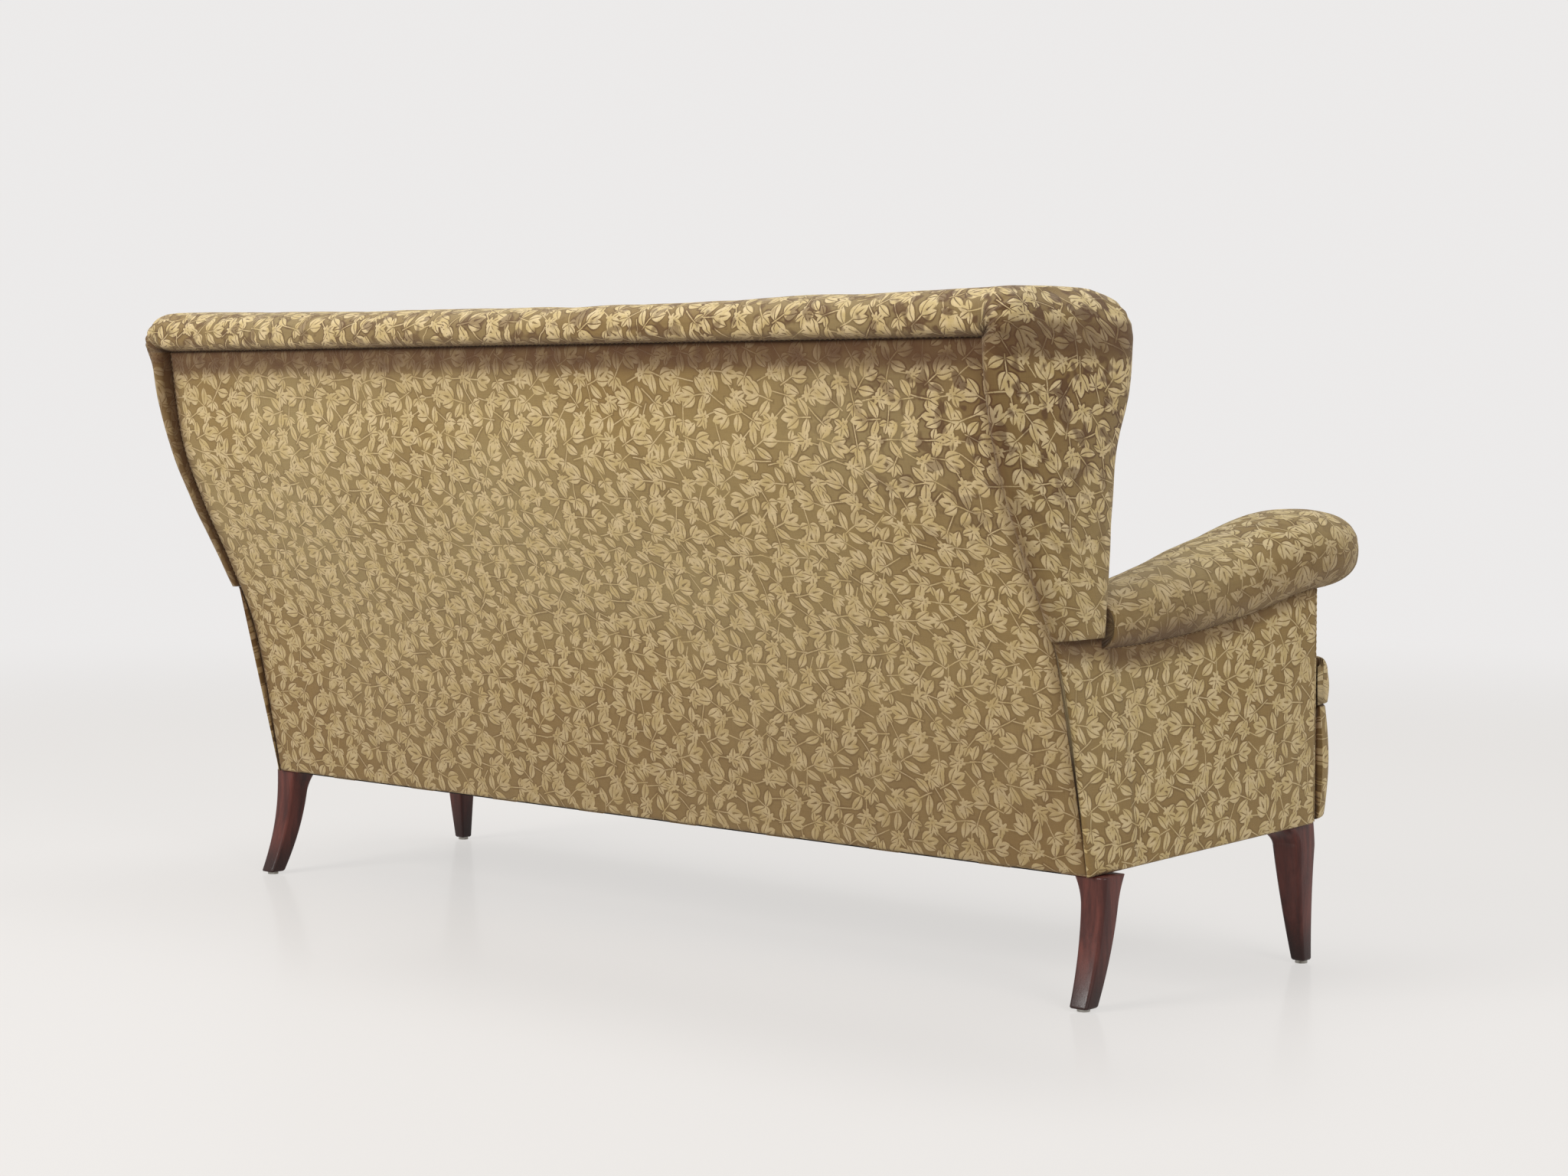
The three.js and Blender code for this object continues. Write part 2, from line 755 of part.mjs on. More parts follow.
hands.forEach(({ hand, side }, i) => {
  addPiece(frameGroup, `back_post_${hand}`, backPosts[i], "beech");
  addPiece(frameGroup, `back_stile_${hand}`, backStiles[i], "beech");
  addPiece(frameGroup, `arm_post_${hand}`, armPosts[i], "beech");
  addPiece(frameGroup, `arm_rail_${hand}`, armRails[i], "beech");
  addPiece(frameGroup, `arm_tacking_rail_${hand}`, armTackRails[i], "beech");
  addPiece(frameGroup, `side_seat_rail_${hand}`, sideRails[i], "beech");
  const frontBlock = cornerBlock(armPostInnerX - gap, frontRailRearY + gap, side, cornerBlockSize);
  addPiece(frameGroup, `front_corner_block_${hand}`, cut(frontBlock, armPosts[i]), "beech");
  const rearBlock = cornerBlock(
    backPostInnerX - gap,
    rearRailRearY - rearRailThickness - gap,
    side,
    -cornerBlockSize,
  );
  addPiece(frameGroup, `rear_corner_block_${hand}`, cut(rearBlock, backPosts[i]), "beech");
});
addPiece(frameGroup, "back_top_rail", backTopRail, "beech");
addPiece(frameGroup, "back_tacking_rail", backTackRail, "beech");
addPiece(frameGroup, "front_seat_rail", frontRail, "beech");
addPiece(frameGroup, "rear_seat_rail", rearRail, "beech");
addPiece(frameGroup, "seat_stretcher", stretcher, "beech");

// Webbing, woven under the seat rails and over the front of the back frame

// Places at an even pitch, on both sides of a middle.
function spaced(middle, pitch, count) {
  const half = ((count - 1) * pitch) / 2;
  return steps(middle - half, middle + half, count - 1);
}

// The pitch that spreads pieces of one width evenly from edge to edge.
const pitchWithin = (halfSpan, width, count) => (2 * halfSpan - width) / (count - 1);

const seatStrapPitch = pitchWithin(backPostInnerX - seatWebbingInset, strapWidth, seatStrapCount);
const strapColumns = spaced(0, seatStrapPitch, seatStrapCount);
const seatStraps = strapColumns.map((x) =>
  box(
    x - strapWidth / 2,
    x + strapWidth / 2,
    frontRailFrontY + gap,
    rearRailRearY - gap,
    -gap - strapThickness,
    -gap,
  ),
);
const crossStrapRows = spaced(springMiddleY, seatCrossStrapPitch, seatCrossStrapCount);
const seatCrossStraps = crossStrapRows.map((y) => {
  const reach = sideRailAt(y + strapWidth / 2);
  return box(
    -reach,
    reach,
    y - strapWidth / 2,
    y + strapWidth / 2,
    -gap - strapThickness,
    -gap,
  );
});
const seatWeave = joined([...seatStraps, ...seatCrossStraps].map((strap) => solidOf(strap)));
const seatWebbing = onSeatPlane(seatWeave);
addPiece(suspensionGroup, "seat_webbing", seatWebbing, "webbing");

const backWebbingHalfWidth = railSpan - backWebbingInset;
const backStrapPitch = pitchWithin(backWebbingHalfWidth, strapWidth, backStrapCount);
const backSheet = sawn(
  curvedOutline(
    backTackFoot + gap,
    postTop - gap,
    webbingFrontAt,
    (z) => uprightFrontAt(z) - gap,
  ),
  -backWebbingHalfWidth,
  backWebbingHalfWidth,
);
const windowWidth = backStrapPitch - strapWidth;
const windowSpan = postTop - backTackFoot - strapWidth;
const windowHeight = windowSpan / (backCrossStrapCount - 1) - strapWidth;
const backWindows = steps(0, backStrapCount - 2, backStrapCount - 2).flatMap((column) =>
  steps(0, backCrossStrapCount - 2, backCrossStrapCount - 2).map((row) => {
    const x = strapWidth - backWebbingHalfWidth + column * backStrapPitch;
    const z = backTackFoot + strapWidth + row * (windowHeight + strapWidth);
    return solidOf(
      box(
        x,
        x + windowWidth,
        webbingFrontAt(z) - overrun,
        uprightFrontAt(z + windowHeight) + uprightDepth,
        z,
        z + windowHeight,
      ),
    );
  }),
);
const backWebbing = backWindows.reduce((left, hole) => left.subtract(hole), solidOf(backSheet));
addPiece(suspensionGroup, "back_webbing", backWebbing, "webbing");

// Springs: waisted coils clipped to a grid of wires along their tops

function coil(x, y) {
  const stepCount = springTurns * springTurnSteps;
  const low = springWireRadius;
  const high = springHeight - springWireRadius;
  const rings = steps(0, 1, stepCount).map((share) => {
    const angle = share * springTurns * 2 * Math.PI;
    const radius = mix(springWaistRadius, springEndRadius, (2 * share - 1) ** 2);
    const outward = new THREE.Vector3(Math.cos(angle), Math.sin(angle), 0);
    const middle = outward.clone().multiplyScalar(radius);
    middle.add(new THREE.Vector3(x, y, mix(low, high, share)));
    return steps(0, 1 - 1 / springWireSides, springWireSides - 1).map((turn) => {
      const point = outward.clone().multiplyScalar(Math.cos(turn * 2 * Math.PI));
      point.z = Math.sin(turn * 2 * Math.PI);
      return point.multiplyScalar(springWireRadius).add(middle);
    });
  });
  return solidOf(loft(rings));
}

const springUnitHalfWidth = backPostInnerX - springUnitInset;
const springColumnPitch = pitchWithin(springUnitHalfWidth, 2 * springEndRadius, springColumnCount);
const coilColumns = spaced(0, springColumnPitch, springColumnCount);
const coilRows = spaced(springMiddleY, springRowPitch, springRowCount);
const coils = coilColumns.flatMap((x) => coilRows.map((y) => coil(x, y)));
const wireZ = [springHeight - 2 * springWireRadius, springHeight];
const gridReach = coilColumns.at(-1) + springEndRadius;
const lengthWires = coilRows.map((y) =>
  solidOf(
    box(-gridReach, gridReach, y - springWireRadius, y + springWireRadius, ...wireZ),
  ),
);
const crossWires = coilColumns.map((x) =>
  solidOf(
    box(
      x + springEndRadius - springWireRadius,
      x + springEndRadius + springWireRadius,
      coilRows[0] - springEndRadius,
      coilRows.at(-1) + springEndRadius,
      ...wireZ,
    ),
  ),
);
const springUnit = joined([...lengthWires, ...crossWires, ...coils]);
addPiece(suspensionGroup, "seat_spring_unit", onSeatPlane(springUnit), "steel");

// Hessian over the springs, its sides tacked along the rails' tops
const hessianHalfWidth = backPostInnerX - hessianInset;
const hessianTop = springHeight + hessianClearance + hessianThickness;
const hessianOuter = seatSolid(
  box(-hessianHalfWidth, hessianHalfWidth, hessianFrontY, hessianRearY, railHeight + gap, hessianTop),
);
const hessianInner = seatSolid(
  box(
    hessianThickness - hessianHalfWidth,
    hessianHalfWidth - hessianThickness,
    hessianFrontY + hessianThickness,
    hessianRearY - hessianThickness,
    0,
    hessianTop - hessianThickness,
  ),
);
const hessian = cut(hessianOuter.subtract(hessianInner), ...backStiles);
addPiece(suspensionGroup, "spring_hessian", hessian, "hessian");

// Dust cover, tacked over the webbing to the undersides of all four rails, and notched round the legs
const dustCoverTop = -2 * gap - strapThickness;
const dustCoverFrontY = frontRailFrontY + gap;
const dustCoverHalf = [
  [frontRailHalfLength, dustCoverFrontY],
  ...[armPostRearY, dustCoverRearY].map((y) => [
    sideRailAt(y) + sideRailReach / 2 - dustCoverInset,
    y,
  ]),
];
const dustCoverOutline = new THREE.Shape(
  [...dustCoverHalf, ...dustCoverHalf.map(([x, y]) => [-x, y]).reverse()].map(
    ([x, y]) => new THREE.Vector2(x, y),
  ),
);
const dustCoverSheet = new THREE.ExtrudeGeometry(dustCoverOutline, {
  depth: dustCoverThickness,
  bevelEnabled: false,
});
dustCoverSheet.translate(0, 0, dustCoverTop - dustCoverThickness);
const dustCover = cut(seatSolid(dustCoverSheet), ...standingLegs, ...armPosts, ...backPosts);
addPiece(suspensionGroup, "dust_cover", dustCover, "cambric");

// Outside back panel
const panelHeights = levels(backHemHeight, backSeamHeight);
const outsideBack = loft(
  steps(-1, 1, acrossSteps).map((share) => {
    const x = share * backHalfWidth;
    const rear = panelHeights.map((z, i) => {
      const swell = Math.sin((Math.PI * i) / (panelHeights.length - 1));
      const bulge = backCrown * (1 - share ** 2) * swell;
      return new THREE.Vector3(x, rearAt(z) + bulge, z);
    });
    const inner = panelHeights.map((z) => new THREE.Vector3(x, rearAt(z) - panelThickness, z));
    return [...rear, ...inner.reverse()];
  }),
);
const outsideBackPanel = solidOf(outsideBack);
addPiece(coverGroup, "outside_back_panel", outsideBackPanel, "fabric");

// A padded section between an inner and an outer [x, z] edge, rounded at the front and the rear.
// Where the rear's share of the front's rounding is less than 1, the section is thinner at the rear.
function rollRing(inner, outer, frontY, rearY, rearShare = 1) {
  const outward = outer.clone().sub(inner);
  const radius = outward.length() / 2;
  outward.normalize();
  const point = (rise, y) => {
    const at = inner.clone().addScaledVector(outward, rise);
    return new THREE.Vector3(at.x, y, at.y);
  };
  const rearRadius = radius * rearShare;
  const ends = [
    { reach: rearRadius, y: rearY - rearRadius, start: -Math.PI / 2 },
    { reach: radius, y: frontY + radius, start: Math.PI / 2 },
  ];
  const ring = ends.flatMap(({ reach, y, start }) =>
    steps(start, start + Math.PI, rollSteps).map((angle) =>
      point(reach * (1 + Math.sin(angle)), y + reach * Math.cos(angle)),
    ),
  );
  const crest = point(radius + rearRadius + rollCrown, (rearY + frontY) / 2);
  ring.splice(rollSteps + 1, 0, crest);
  return ring;
}

const rollInnerX = backHalfWidth + 2 * gap;
const rollInnerZ = backSeamHeight + gap;
const cornerX = rollInnerX - endInnerRadius;
const cornerZ = rollInnerZ - endInnerRadius;
const rollRearY = backHemY + backLean + rollOverhang;

// One end of the back, and the corner over it
const backEnds = hands.map(({ side }, i) => {
  const uprightRings = steps(0, 1, profileSteps).map((share) => {
    const z = mix(endFootHeight, cornerZ, share);
    const width = readShares(endWidthShares, share) * endWidth;
    const overhang = readShares(endWidthShares, share) * rollOverhang;
    return rollRing(
      new THREE.Vector2(side * rollInnerX, z),
      new THREE.Vector2(side * (rollInnerX + width), z),
      wingY - wingLip,
      rearAt(z) + overhang,
      readShares(endRearShares, share),
    );
  });
  const cornerRings = steps(0, Math.PI / 2, cornerSteps).slice(1).map((angle) => {
    const reachX = rollInnerX + endWidth - cornerX;
    const reachZ = backHeight - cornerZ;
    const out = Math.cos(angle) ** cornerPower;
    const up = Math.sin(angle) ** cornerPower;
    const spot = (x, z) => new THREE.Vector2(side * (cornerX + x * out), cornerZ + z * up);
    return rollRing(
      spot(endInnerRadius, endInnerRadius),
      spot(reachX, reachZ),
      wingY - wingLip,
      rollRearY,
      mix(endRearShares.at(-1)[1], 1, Math.sin(angle)),
    );
  });
  const end = solidOf(loft([...uprightRings, ...cornerRings]));
  return cut(end, outsideBackPanel, backPosts[i], armRails[i]);
});

const topRollReach = cornerX - gap;
const topRoll = solidOf(
  loft(
    steps(-1, 1, insideBackSteps).map((share) => {
      const x = share * topRollReach;
      const top = backHeight - backTopDip * (1 - share ** 2);
      return rollRing(
        new THREE.Vector2(x, rollInnerZ),
        new THREE.Vector2(x, top),
        insideBackAt(x, backSeamHeight) - wingLip,
        rollRearY,
      );
    }),
  ),
);
addPiece(coverGroup, "back_top_roll", topRoll, "fabric");

// Arm rolls
function rollSection({ x, y, z, halfWidth, halfHeight }, side, shrink) {
  const power = 2 / rollSquareness;
  const shaped = (value) => Math.sign(value) * Math.abs(value) ** power;
  return steps(0, 2 * Math.PI, armRollSides).slice(1).map((angle) => {
    const across = shaped(Math.cos(angle)) * halfWidth * shrink;
    const up = shaped(Math.sin(angle)) * halfHeight * shrink;
    return new THREE.Vector3(side * (x + across), y, z + up);
  });
}

const noseShares = steps(0, Math.PI / 2, cornerSteps + 1).slice(0, -1);
const armRolls = hands.map(({ side }, i) => {
  const straight = steps(0, armRollNoseShare, armSteps).map((share) =>
    rollSection(armRollAt(share), side, 1),
  );
  const nose = noseShares.slice(1).map((angle) => {
    const share = mix(armRollNoseShare, 1, Math.sin(angle));
    return rollSection(armRollAt(share), side, Math.cos(angle) ** (1 / rollSquareness));
  });
  const tip = rollSection(armRollAt(1), side, armRollTipShare);
  const roll = solidOf(loft([...straight, ...nose, tip]));
  return cut(roll, armRails[i], armPosts[i], backPosts[i], backEnds[i]);
});

// Outer arm panels, from the arm's front edge back to the outside back's curved edge
function rearwards(share, z) {
  return mix(armFrontY, rearAt(z), share);
}
const outsideArms = hands.map(({ side }, i) => {
  const rings = steps(0, 1, armSteps).map((share) => {
    const hem = railUnderAt(rearwards(share, backHemHeight)) - gap;
    const top = armRollCentreAt(rearwards(share, endFootHeight));
    const heights = steps(hem, top, armPanelSteps);
    const skin = (z, row, depth) => {
      const y = rearwards(share, z);
      const bulge = Math.sin(Math.PI * share) * Math.sin((Math.PI * row) / armPanelSteps);
      const x = armOuterAt(y) - depth + (depth > 0 ? 0 : bulge * armPanelCrown);
      return new THREE.Vector3(side * x, y, z);
    };
    const outer = heights.map((z, row) => skin(z, row, 0));
    const inner = heights.map((z, row) => skin(z, row, panelThickness));
    return [...outer, ...inner.reverse()];
  });
  const panel = solidOf(loft(rings));
  return cut(panel, armRolls[i], armRails[i], backEnds[i], backPosts[i], outsideBackPanel);
});

// Inside arm pads
const insideArms = hands.map(({ side }, i) => {
  const rings = steps(0, 1, armSteps).map((share) => {
    const y = mix(armPostFrontY, armRollRearY, share);
    const top = armRollCentreAt(y);
    const heights = steps(insideArmFoot, top, armPanelSteps);
    const outer = heights.map((z) => {
      const x = armInnerAt(y) + insideArmThickness;
      return new THREE.Vector3(side * x, y, z);
    });
    const inner = heights.map((z, row) => {
      const bulge = Math.sin((Math.PI * row) / armPanelSteps) * insideArmCrown;
      return new THREE.Vector3(side * (armInnerAt(y) - bulge), y, z);
    });
    return [...outer, ...inner.reverse()];
  });
  const pad = solidOf(loft(rings));
  return cut(pad, armRolls[i], armRails[i], armPosts[i], armTackRails[i], backPosts[i]);
});

// Arm front facings, which turn the post's outer corner with a soft radius
const facings = hands.map(({ side }, i) => {
  const outerX = armFrontOuterX;
  const innerX = armInnerAt(armPostFrontY);
  const turnX = outerX - facingCornerRadius;
  const turnY = facingFrontY + facingCornerRadius;
  const sideY = armFrontY - gap;
  const arc = steps(-Math.PI / 2, 0, 2 * cornerSteps)
    .map((angle) => [
      turnX + facingCornerRadius * Math.cos(angle),
      turnY + facingCornerRadius * Math.sin(angle),
    ])
    .filter(([, y]) => y < sideY);
  const outline = [
    [innerX, facingFrontY],
    ...arc,
    [outerX, sideY],
    [armPostOuterX + gap, sideY],
    [armPostOuterX + gap, armPostFrontY - gap],
    [innerX, armPostFrontY - gap],
  ];
  const top = armRollCentreAt(armPostFrontY);
  const facing = loft(
    [railUnderAt, () => top].map((heightAt) =>
      outline.map(([x, y]) => new THREE.Vector3(side * x, y, heightAt(y))),
    ),
  );
  return cut(solidOf(facing), armRolls[i], armRails[i], frontRail, insideArms[i], outsideArms[i]);
});

// Inside back pad, tucked down behind the seat
const insideBackHeights = levels(insideBackFootHeight, backSeamHeight);
const insideBack = loft(
  steps(-1, 1, insideBackSteps).map((share) => {
    const x = share * backHalfWidth;
    const front = insideBackHeights.map((z) => {
      const thickest = webbingFrontAt(z) - gap - insideBackLeast;
      return new THREE.Vector3(x, Math.min(insideBackAt(x, z), thickest), z);
    });
    const rear = insideBackHeights.map((z) => new THREE.Vector3(x, webbingFrontAt(z) - gap, z));
    return [...front, ...rear.reverse()];
  }),
);
const insideBackPad = cut(
  solidOf(insideBack),
  ...backEnds,
  ...armRails,
  ...armRolls,
  ...insideArms,
  ...armTackRails,
);
addPiece(coverGroup, "inside_back_pad", insideBackPad, "fabric");

// Seat: an edge roll on the front rail, the pad over the springs, and the border in front of them
const edgeRollTop = hessianTop - gap;
const edgeRoll = seatSolid(
  box(
    gap - armInnerAt(armPostFrontY),
    armInnerAt(armPostFrontY) - gap,
    frontRailFrontY,
    hessianFrontY - gap,
    railHeight + gap,
    edgeRollTop,
  ),
);
addPiece(suspensionGroup, "front_edge_roll", edgeRoll, "hessian");

const seatPadFoot = hessianTop + gap;
const seatEarRearY = facingFrontY - gap;
const seatPadFrontY = seatFrontY + borderCrown;
function seatRing(x, rearY) {
  const across = Math.min(1, Math.abs(x) / seatEarHalfWidth);
  const inset = seatCornerRadius * (1 - Math.sqrt(1 - seatInsetAt(x) ** 2));
  const frontY = seatPadFrontY + inset;
  const topAt = (y) => {
    const along = clamp((y - seatPadFrontY) / (seatRearY - seatPadFrontY), 0, 1);
    const fullness = (1 - across ** seatCrownPower) * Math.sqrt(Math.sin(Math.PI * along));
    return seatThickness + seatCrown * fullness;
  };
  const backY = Math.max(rearY, frontY + seatEdgeRadius + gap);
  const edge = steps(0, Math.PI / 2, cornerSteps).map((angle) => {
    const y = frontY + seatEdgeRadius * (1 - Math.sin(angle));
    return { y, up: topAt(y) - seatEdgeRadius * (1 - Math.cos(angle)) };
  });
  const top = steps(backY, frontY + seatEdgeRadius, seatSteps).map((y) => ({
    y,
    up: topAt(y),
  }));
  const ring = [...top.slice(0, -1), ...edge, { y: frontY, up: 0 }, { y: backY, up: 0 }];
  return ring.map(({ y, up }) => new THREE.Vector3(x, y, seatPadFoot + up));
}
function seatInsetAt(x) {
  const start = seatEarHalfWidth - seatCornerRadius;
  return clamp((Math.abs(x) - start) / seatCornerRadius, 0, seatCornerShare);
}
const seatXs = steps(0, seatSideReach, seatSteps);
const earXs = [
  seatSideReach + gap,
  seatEarHalfWidth - seatCornerRadius,
  ...steps(0, Math.PI / 2, cornerSteps)
    .slice(1)
    .map((angle) => seatEarHalfWidth - seatCornerRadius * (1 - Math.sin(angle))),
];
const seatHalf = [
  ...seatXs.map((x) => [x, seatRearY]),
  ...earXs.map((x) => [x, seatEarRearY]),
];
const seatStations = [
  ...seatHalf.slice(1).reverse().map(([x, rearY]) => [-x, rearY]),
  ...seatHalf,
];
const seatPad = cut(
  seatSolid(loft(seatStations.map(([x, rearY]) => seatRing(x, rearY)))),
  ...insideArms,
  ...facings,
  ...armPosts,
  ...armTackRails,
  ...backPosts,
  insideBackPad,
);
addPiece(coverGroup, "seat_pad", seatPad, "fabric");

// The border runs across the front and turns back along both sides, as far as the facings.
function borderOutline(bulge) {
  const turnX = seatEarHalfWidth - seatCornerRadius;
  const turnY = seatFrontY + seatCornerRadius;
  const radius = seatCornerRadius + bulge;
  const arc = steps(-Math.PI / 2, 0, 2 * cornerSteps)
    .map((angle) => [turnX + radius * Math.cos(angle), turnY + radius * Math.sin(angle)])
    .filter(([, y]) => y < seatEarRearY);
  const outerX = arc.at(-1)[0];
  const innerX = frontRailHalfLength + gap;
  const half = [
    ...arc,
    [outerX, seatEarRearY],
    [innerX, seatEarRearY],
    [innerX, frontRailFrontY - gap],
  ];
  const other = half.map(([x, y]) => [-x, y]).reverse();
  return [...other, ...half];
}
const borderTop = railUnderAt(facingFrontY) + railHeight + borderHeightAboveRail;
const borderRings = steps(0, 1, armPanelSteps).map((share) => {
  const bulge = borderCrown * (Math.sin(Math.PI * share) - 1);
  return borderOutline(bulge).map(
    ([x, y]) => new THREE.Vector3(x, y, mix(railUnderAt(y), borderTop, share)),
  );
});
const frontBorder = cut(solidOf(loft(borderRings)), seatPad, ...facings, edgeRoll, frontRail);
addPiece(coverGroup, "seat_front_border", frontBorder, "fabric");

hands.forEach(({ hand }, i) => {
  addPiece(coverGroup, `back_end_border_${hand}`, backEnds[i], "fabric");
  addPiece(coverGroup, `arm_roll_${hand}`, armRolls[i], "fabric");
  addPiece(coverGroup, `outside_arm_panel_${hand}`, outsideArms[i], "fabric");
  addPiece(coverGroup, `inside_arm_pad_${hand}`, insideArms[i], "fabric");
  addPiece(coverGroup, `arm_front_facing_${hand}`, facings[i], "fabric");
});

// The origin stands under the middle of the whole sofa.
const reach = new THREE.Box3().setFromObject(sofa);
sofa.position.y = -(reach.min.y + reach.max.y) / 2;

export default sofa;
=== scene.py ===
"""A three-seat sofa: a patterned cover over a raked, rolled back and flared arms, on dark curved legs."""

import math
from math import cos, pi, radians, sin

import bmesh
import bpy
import numpy as np
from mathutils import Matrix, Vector, noise
from mathutils.bvhtree import BVHTree
from mathutils.geometry import convex_hull_2d


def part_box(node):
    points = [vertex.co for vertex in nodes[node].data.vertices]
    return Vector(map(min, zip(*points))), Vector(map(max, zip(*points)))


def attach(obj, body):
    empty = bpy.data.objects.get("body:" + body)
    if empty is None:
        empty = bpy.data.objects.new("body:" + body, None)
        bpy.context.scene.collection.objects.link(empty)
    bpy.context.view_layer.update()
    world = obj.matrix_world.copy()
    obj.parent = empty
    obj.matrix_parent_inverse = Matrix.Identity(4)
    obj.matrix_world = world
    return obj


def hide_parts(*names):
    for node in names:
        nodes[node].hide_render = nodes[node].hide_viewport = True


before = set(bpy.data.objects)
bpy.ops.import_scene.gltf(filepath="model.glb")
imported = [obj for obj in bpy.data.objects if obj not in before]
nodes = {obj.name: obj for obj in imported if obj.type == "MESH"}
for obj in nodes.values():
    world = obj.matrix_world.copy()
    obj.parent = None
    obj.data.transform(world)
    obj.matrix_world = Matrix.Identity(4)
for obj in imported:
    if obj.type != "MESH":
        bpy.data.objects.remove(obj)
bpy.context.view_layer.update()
HANDS = (("left", 1), ("right", -1))
TEXTILE = "textile"  # the UV map that holds each cover's own cloth, in metres
SHADE_ATTRIBUTE = "paint_shade"  # the attribute that holds the painted shade on a cover, from 0 to 1


# Camera

PHOTO_WIDTH = 2048
FOCAL_PIXELS = 3755.6
SENSOR_WIDTH = 36.0
CAMERA_PLACE = Vector((-2.8836, 3.0939, 0.7677))
CAMERA_YAW = 0.71964
CAMERA_PITCH = 0.06485


def placed(name, data, place=(0, 0, 0), ahead=None):
    """A new object in the scene, which looks along a direction where one is given."""
    thing = bpy.data.objects.new(name, data)
    thing.location = place
    if ahead is not None:
        thing.rotation_mode = "QUATERNION"
        thing.rotation_quaternion = ahead.to_track_quat("-Z", "Y")
    bpy.context.scene.collection.objects.link(thing)
    return thing


def make_camera():
    data = bpy.data.cameras.new("photo_camera")
    data.sensor_width = SENSOR_WIDTH
    data.lens = FOCAL_PIXELS / PHOTO_WIDTH * SENSOR_WIDTH
    level = cos(CAMERA_PITCH)
    ahead = Vector((sin(CAMERA_YAW) * level, -cos(CAMERA_YAW) * level, -sin(CAMERA_PITCH)))
    bpy.context.scene.camera = placed("photo_camera", data, CAMERA_PLACE, ahead)


# Studio

BACKDROP = (0.840, 0.826, 0.820, 1)
FLOOR = (0.62, 0.585, 0.56, 1)
FLOOR_GLOW = (0.832, 0.812, 0.790, 1)
FLOOR_GLOW_SHARE = 0.76  # a high-key floor, which takes only a faint shadow
FLOOR_HALF = 24.0
FLOOR_CLEAR = 2.2  # the floor keeps its own shade this far round the sofa
FLOOR_FADE = 5.5  # and is lost in the backdrop here
FOOTPRINT_HALF = (0.87, 0.36, 0)  # the feet stand within it
MIRROR_SHARE = 0.06  # how much the floor mirrors by the feet
MIRROR_NEAR, MIRROR_END = 0.05, 0.45  # and how far out from the footprint it fades
WORLD_LIGHT = (0.97, 0.965, 0.955, 1)
WORLD_STRENGTH = 0.40
LIGHTS_AIM = Vector((0.0, 0.0, 0.45))
SOFTBOXES = {  # place, size in metres, watts, colour
    "key_softbox": ((1.4, 4.4, 3.1), (2.2, 1.5), 206, (1.0, 0.985, 0.965)),
    "fill_softbox": ((-4.4, 1.2, 2.8), (2.0, 1.6), 102, (0.98, 0.985, 1.0)),
    "top_softbox": ((0.2, -0.2, 4.6), (3.6, 2.4), 142, (0.88, 0.94, 1.0)),
}


def make_lights():
    for name, (place, size, power, colour) in SOFTBOXES.items():
        data = bpy.data.lights.new(name, "AREA")
        data.shape = "RECTANGLE"
        data.size, data.size_y = size
        data.energy = power
        data.color = colour
        placed(name, data, place, LIGHTS_AIM - Vector(place))


def seen_rays(net):
    """1 on rays from the camera and on mirrored and refracted ones, and else 0."""
    path = net.tree.nodes.new("ShaderNodeLightPath").outputs
    direct = net.math("MAXIMUM", path["Is Camera Ray"], path["Is Glossy Ray"])
    return net.math("MAXIMUM", direct, path["Is Transmission Ray"])


def make_world():
    world = bpy.data.worlds.new("studio")
    bpy.context.scene.world = world
    world.use_nodes = True
    net = Net(world.node_tree)
    net.tree.nodes.clear()
    light = net.add("ShaderNodeBackground", WORLD_LIGHT, WORLD_STRENGTH)
    backdrop = net.add("ShaderNodeBackground", BACKDROP)
    surface = net.tree.nodes.new("ShaderNodeOutputWorld").inputs[0]
    net.feed(surface, net.add("ShaderNodeMixShader", seen_rays(net), light, backdrop))


def make_floor():
    """A pale floor whose far parts are lost in the backdrop, so that no horizon shows."""
    mesh = bpy.data.meshes.new("floor")
    h = FLOOR_HALF
    mesh.from_pydata([(-h, -h, 0), (h, -h, 0), (h, h, 0), (-h, h, 0)], [], [(0, 1, 2, 3)])
    made, net, _ = material("pale floor", FLOOR, Roughness=0.42, Specular_IOR_Level=0.22)
    shader, surface = (made.node_tree.nodes[name] for name in ("Principled BSDF", "Material Output"))
    place, seen = net.own_place(), seen_rays(net)
    glow = net.add("ShaderNodeEmission", FLOOR_GLOW)
    lit = net.add("ShaderNodeMixShader", net.times(seen, FLOOR_GLOW_SHARE), shader.outputs[0], glow)
    beyond = net.vector("SUBTRACT", net.vector("ABSOLUTE", place), FOOTPRINT_HALF)
    out = net.length(net.vector("MAXIMUM", beyond, (0, 0, 0)))
    share = net.ramp(out, MIRROR_NEAR, MIRROR_END, MIRROR_SHARE, 0.0)
    mirror = net.add("ShaderNodeBsdfGlossy", inputs={"Roughness": 0.14})
    polished = net.add("ShaderNodeMixShader", share, lit, mirror)
    lost = net.times(net.ramp(net.length(place), FLOOR_CLEAR, FLOOR_FADE), seen)
    backdrop = net.add("ShaderNodeEmission", BACKDROP)
    net.feed(surface.inputs[0], net.add("ShaderNodeMixShader", lost, polished, backdrop))
    mesh.materials.append(made)
    placed("floor", mesh)


# Lines of the carcass that the covers follow, in metres

HAIR = 0.0003  # between pieces that touch
PANEL_LOW, PANEL_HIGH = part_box("outside_back_panel")
BACK_HALF = PANEL_HIGH.x
HEM_Z = PANEL_LOW.z
SEAM_Z = PANEL_HIGH.z
PANEL_THICKNESS = 0.006
HEM_Y = PANEL_LOW.y + PANEL_THICKNESS
BACK_LEAN = 0.208
BACK_CROWN = 0.005
BACK_LINE_SHARES = ((0, 0), (0.33, 0.22), (0.5, 0.455), (0.65, 0.71), (0.8, 0.905), (1, 1))

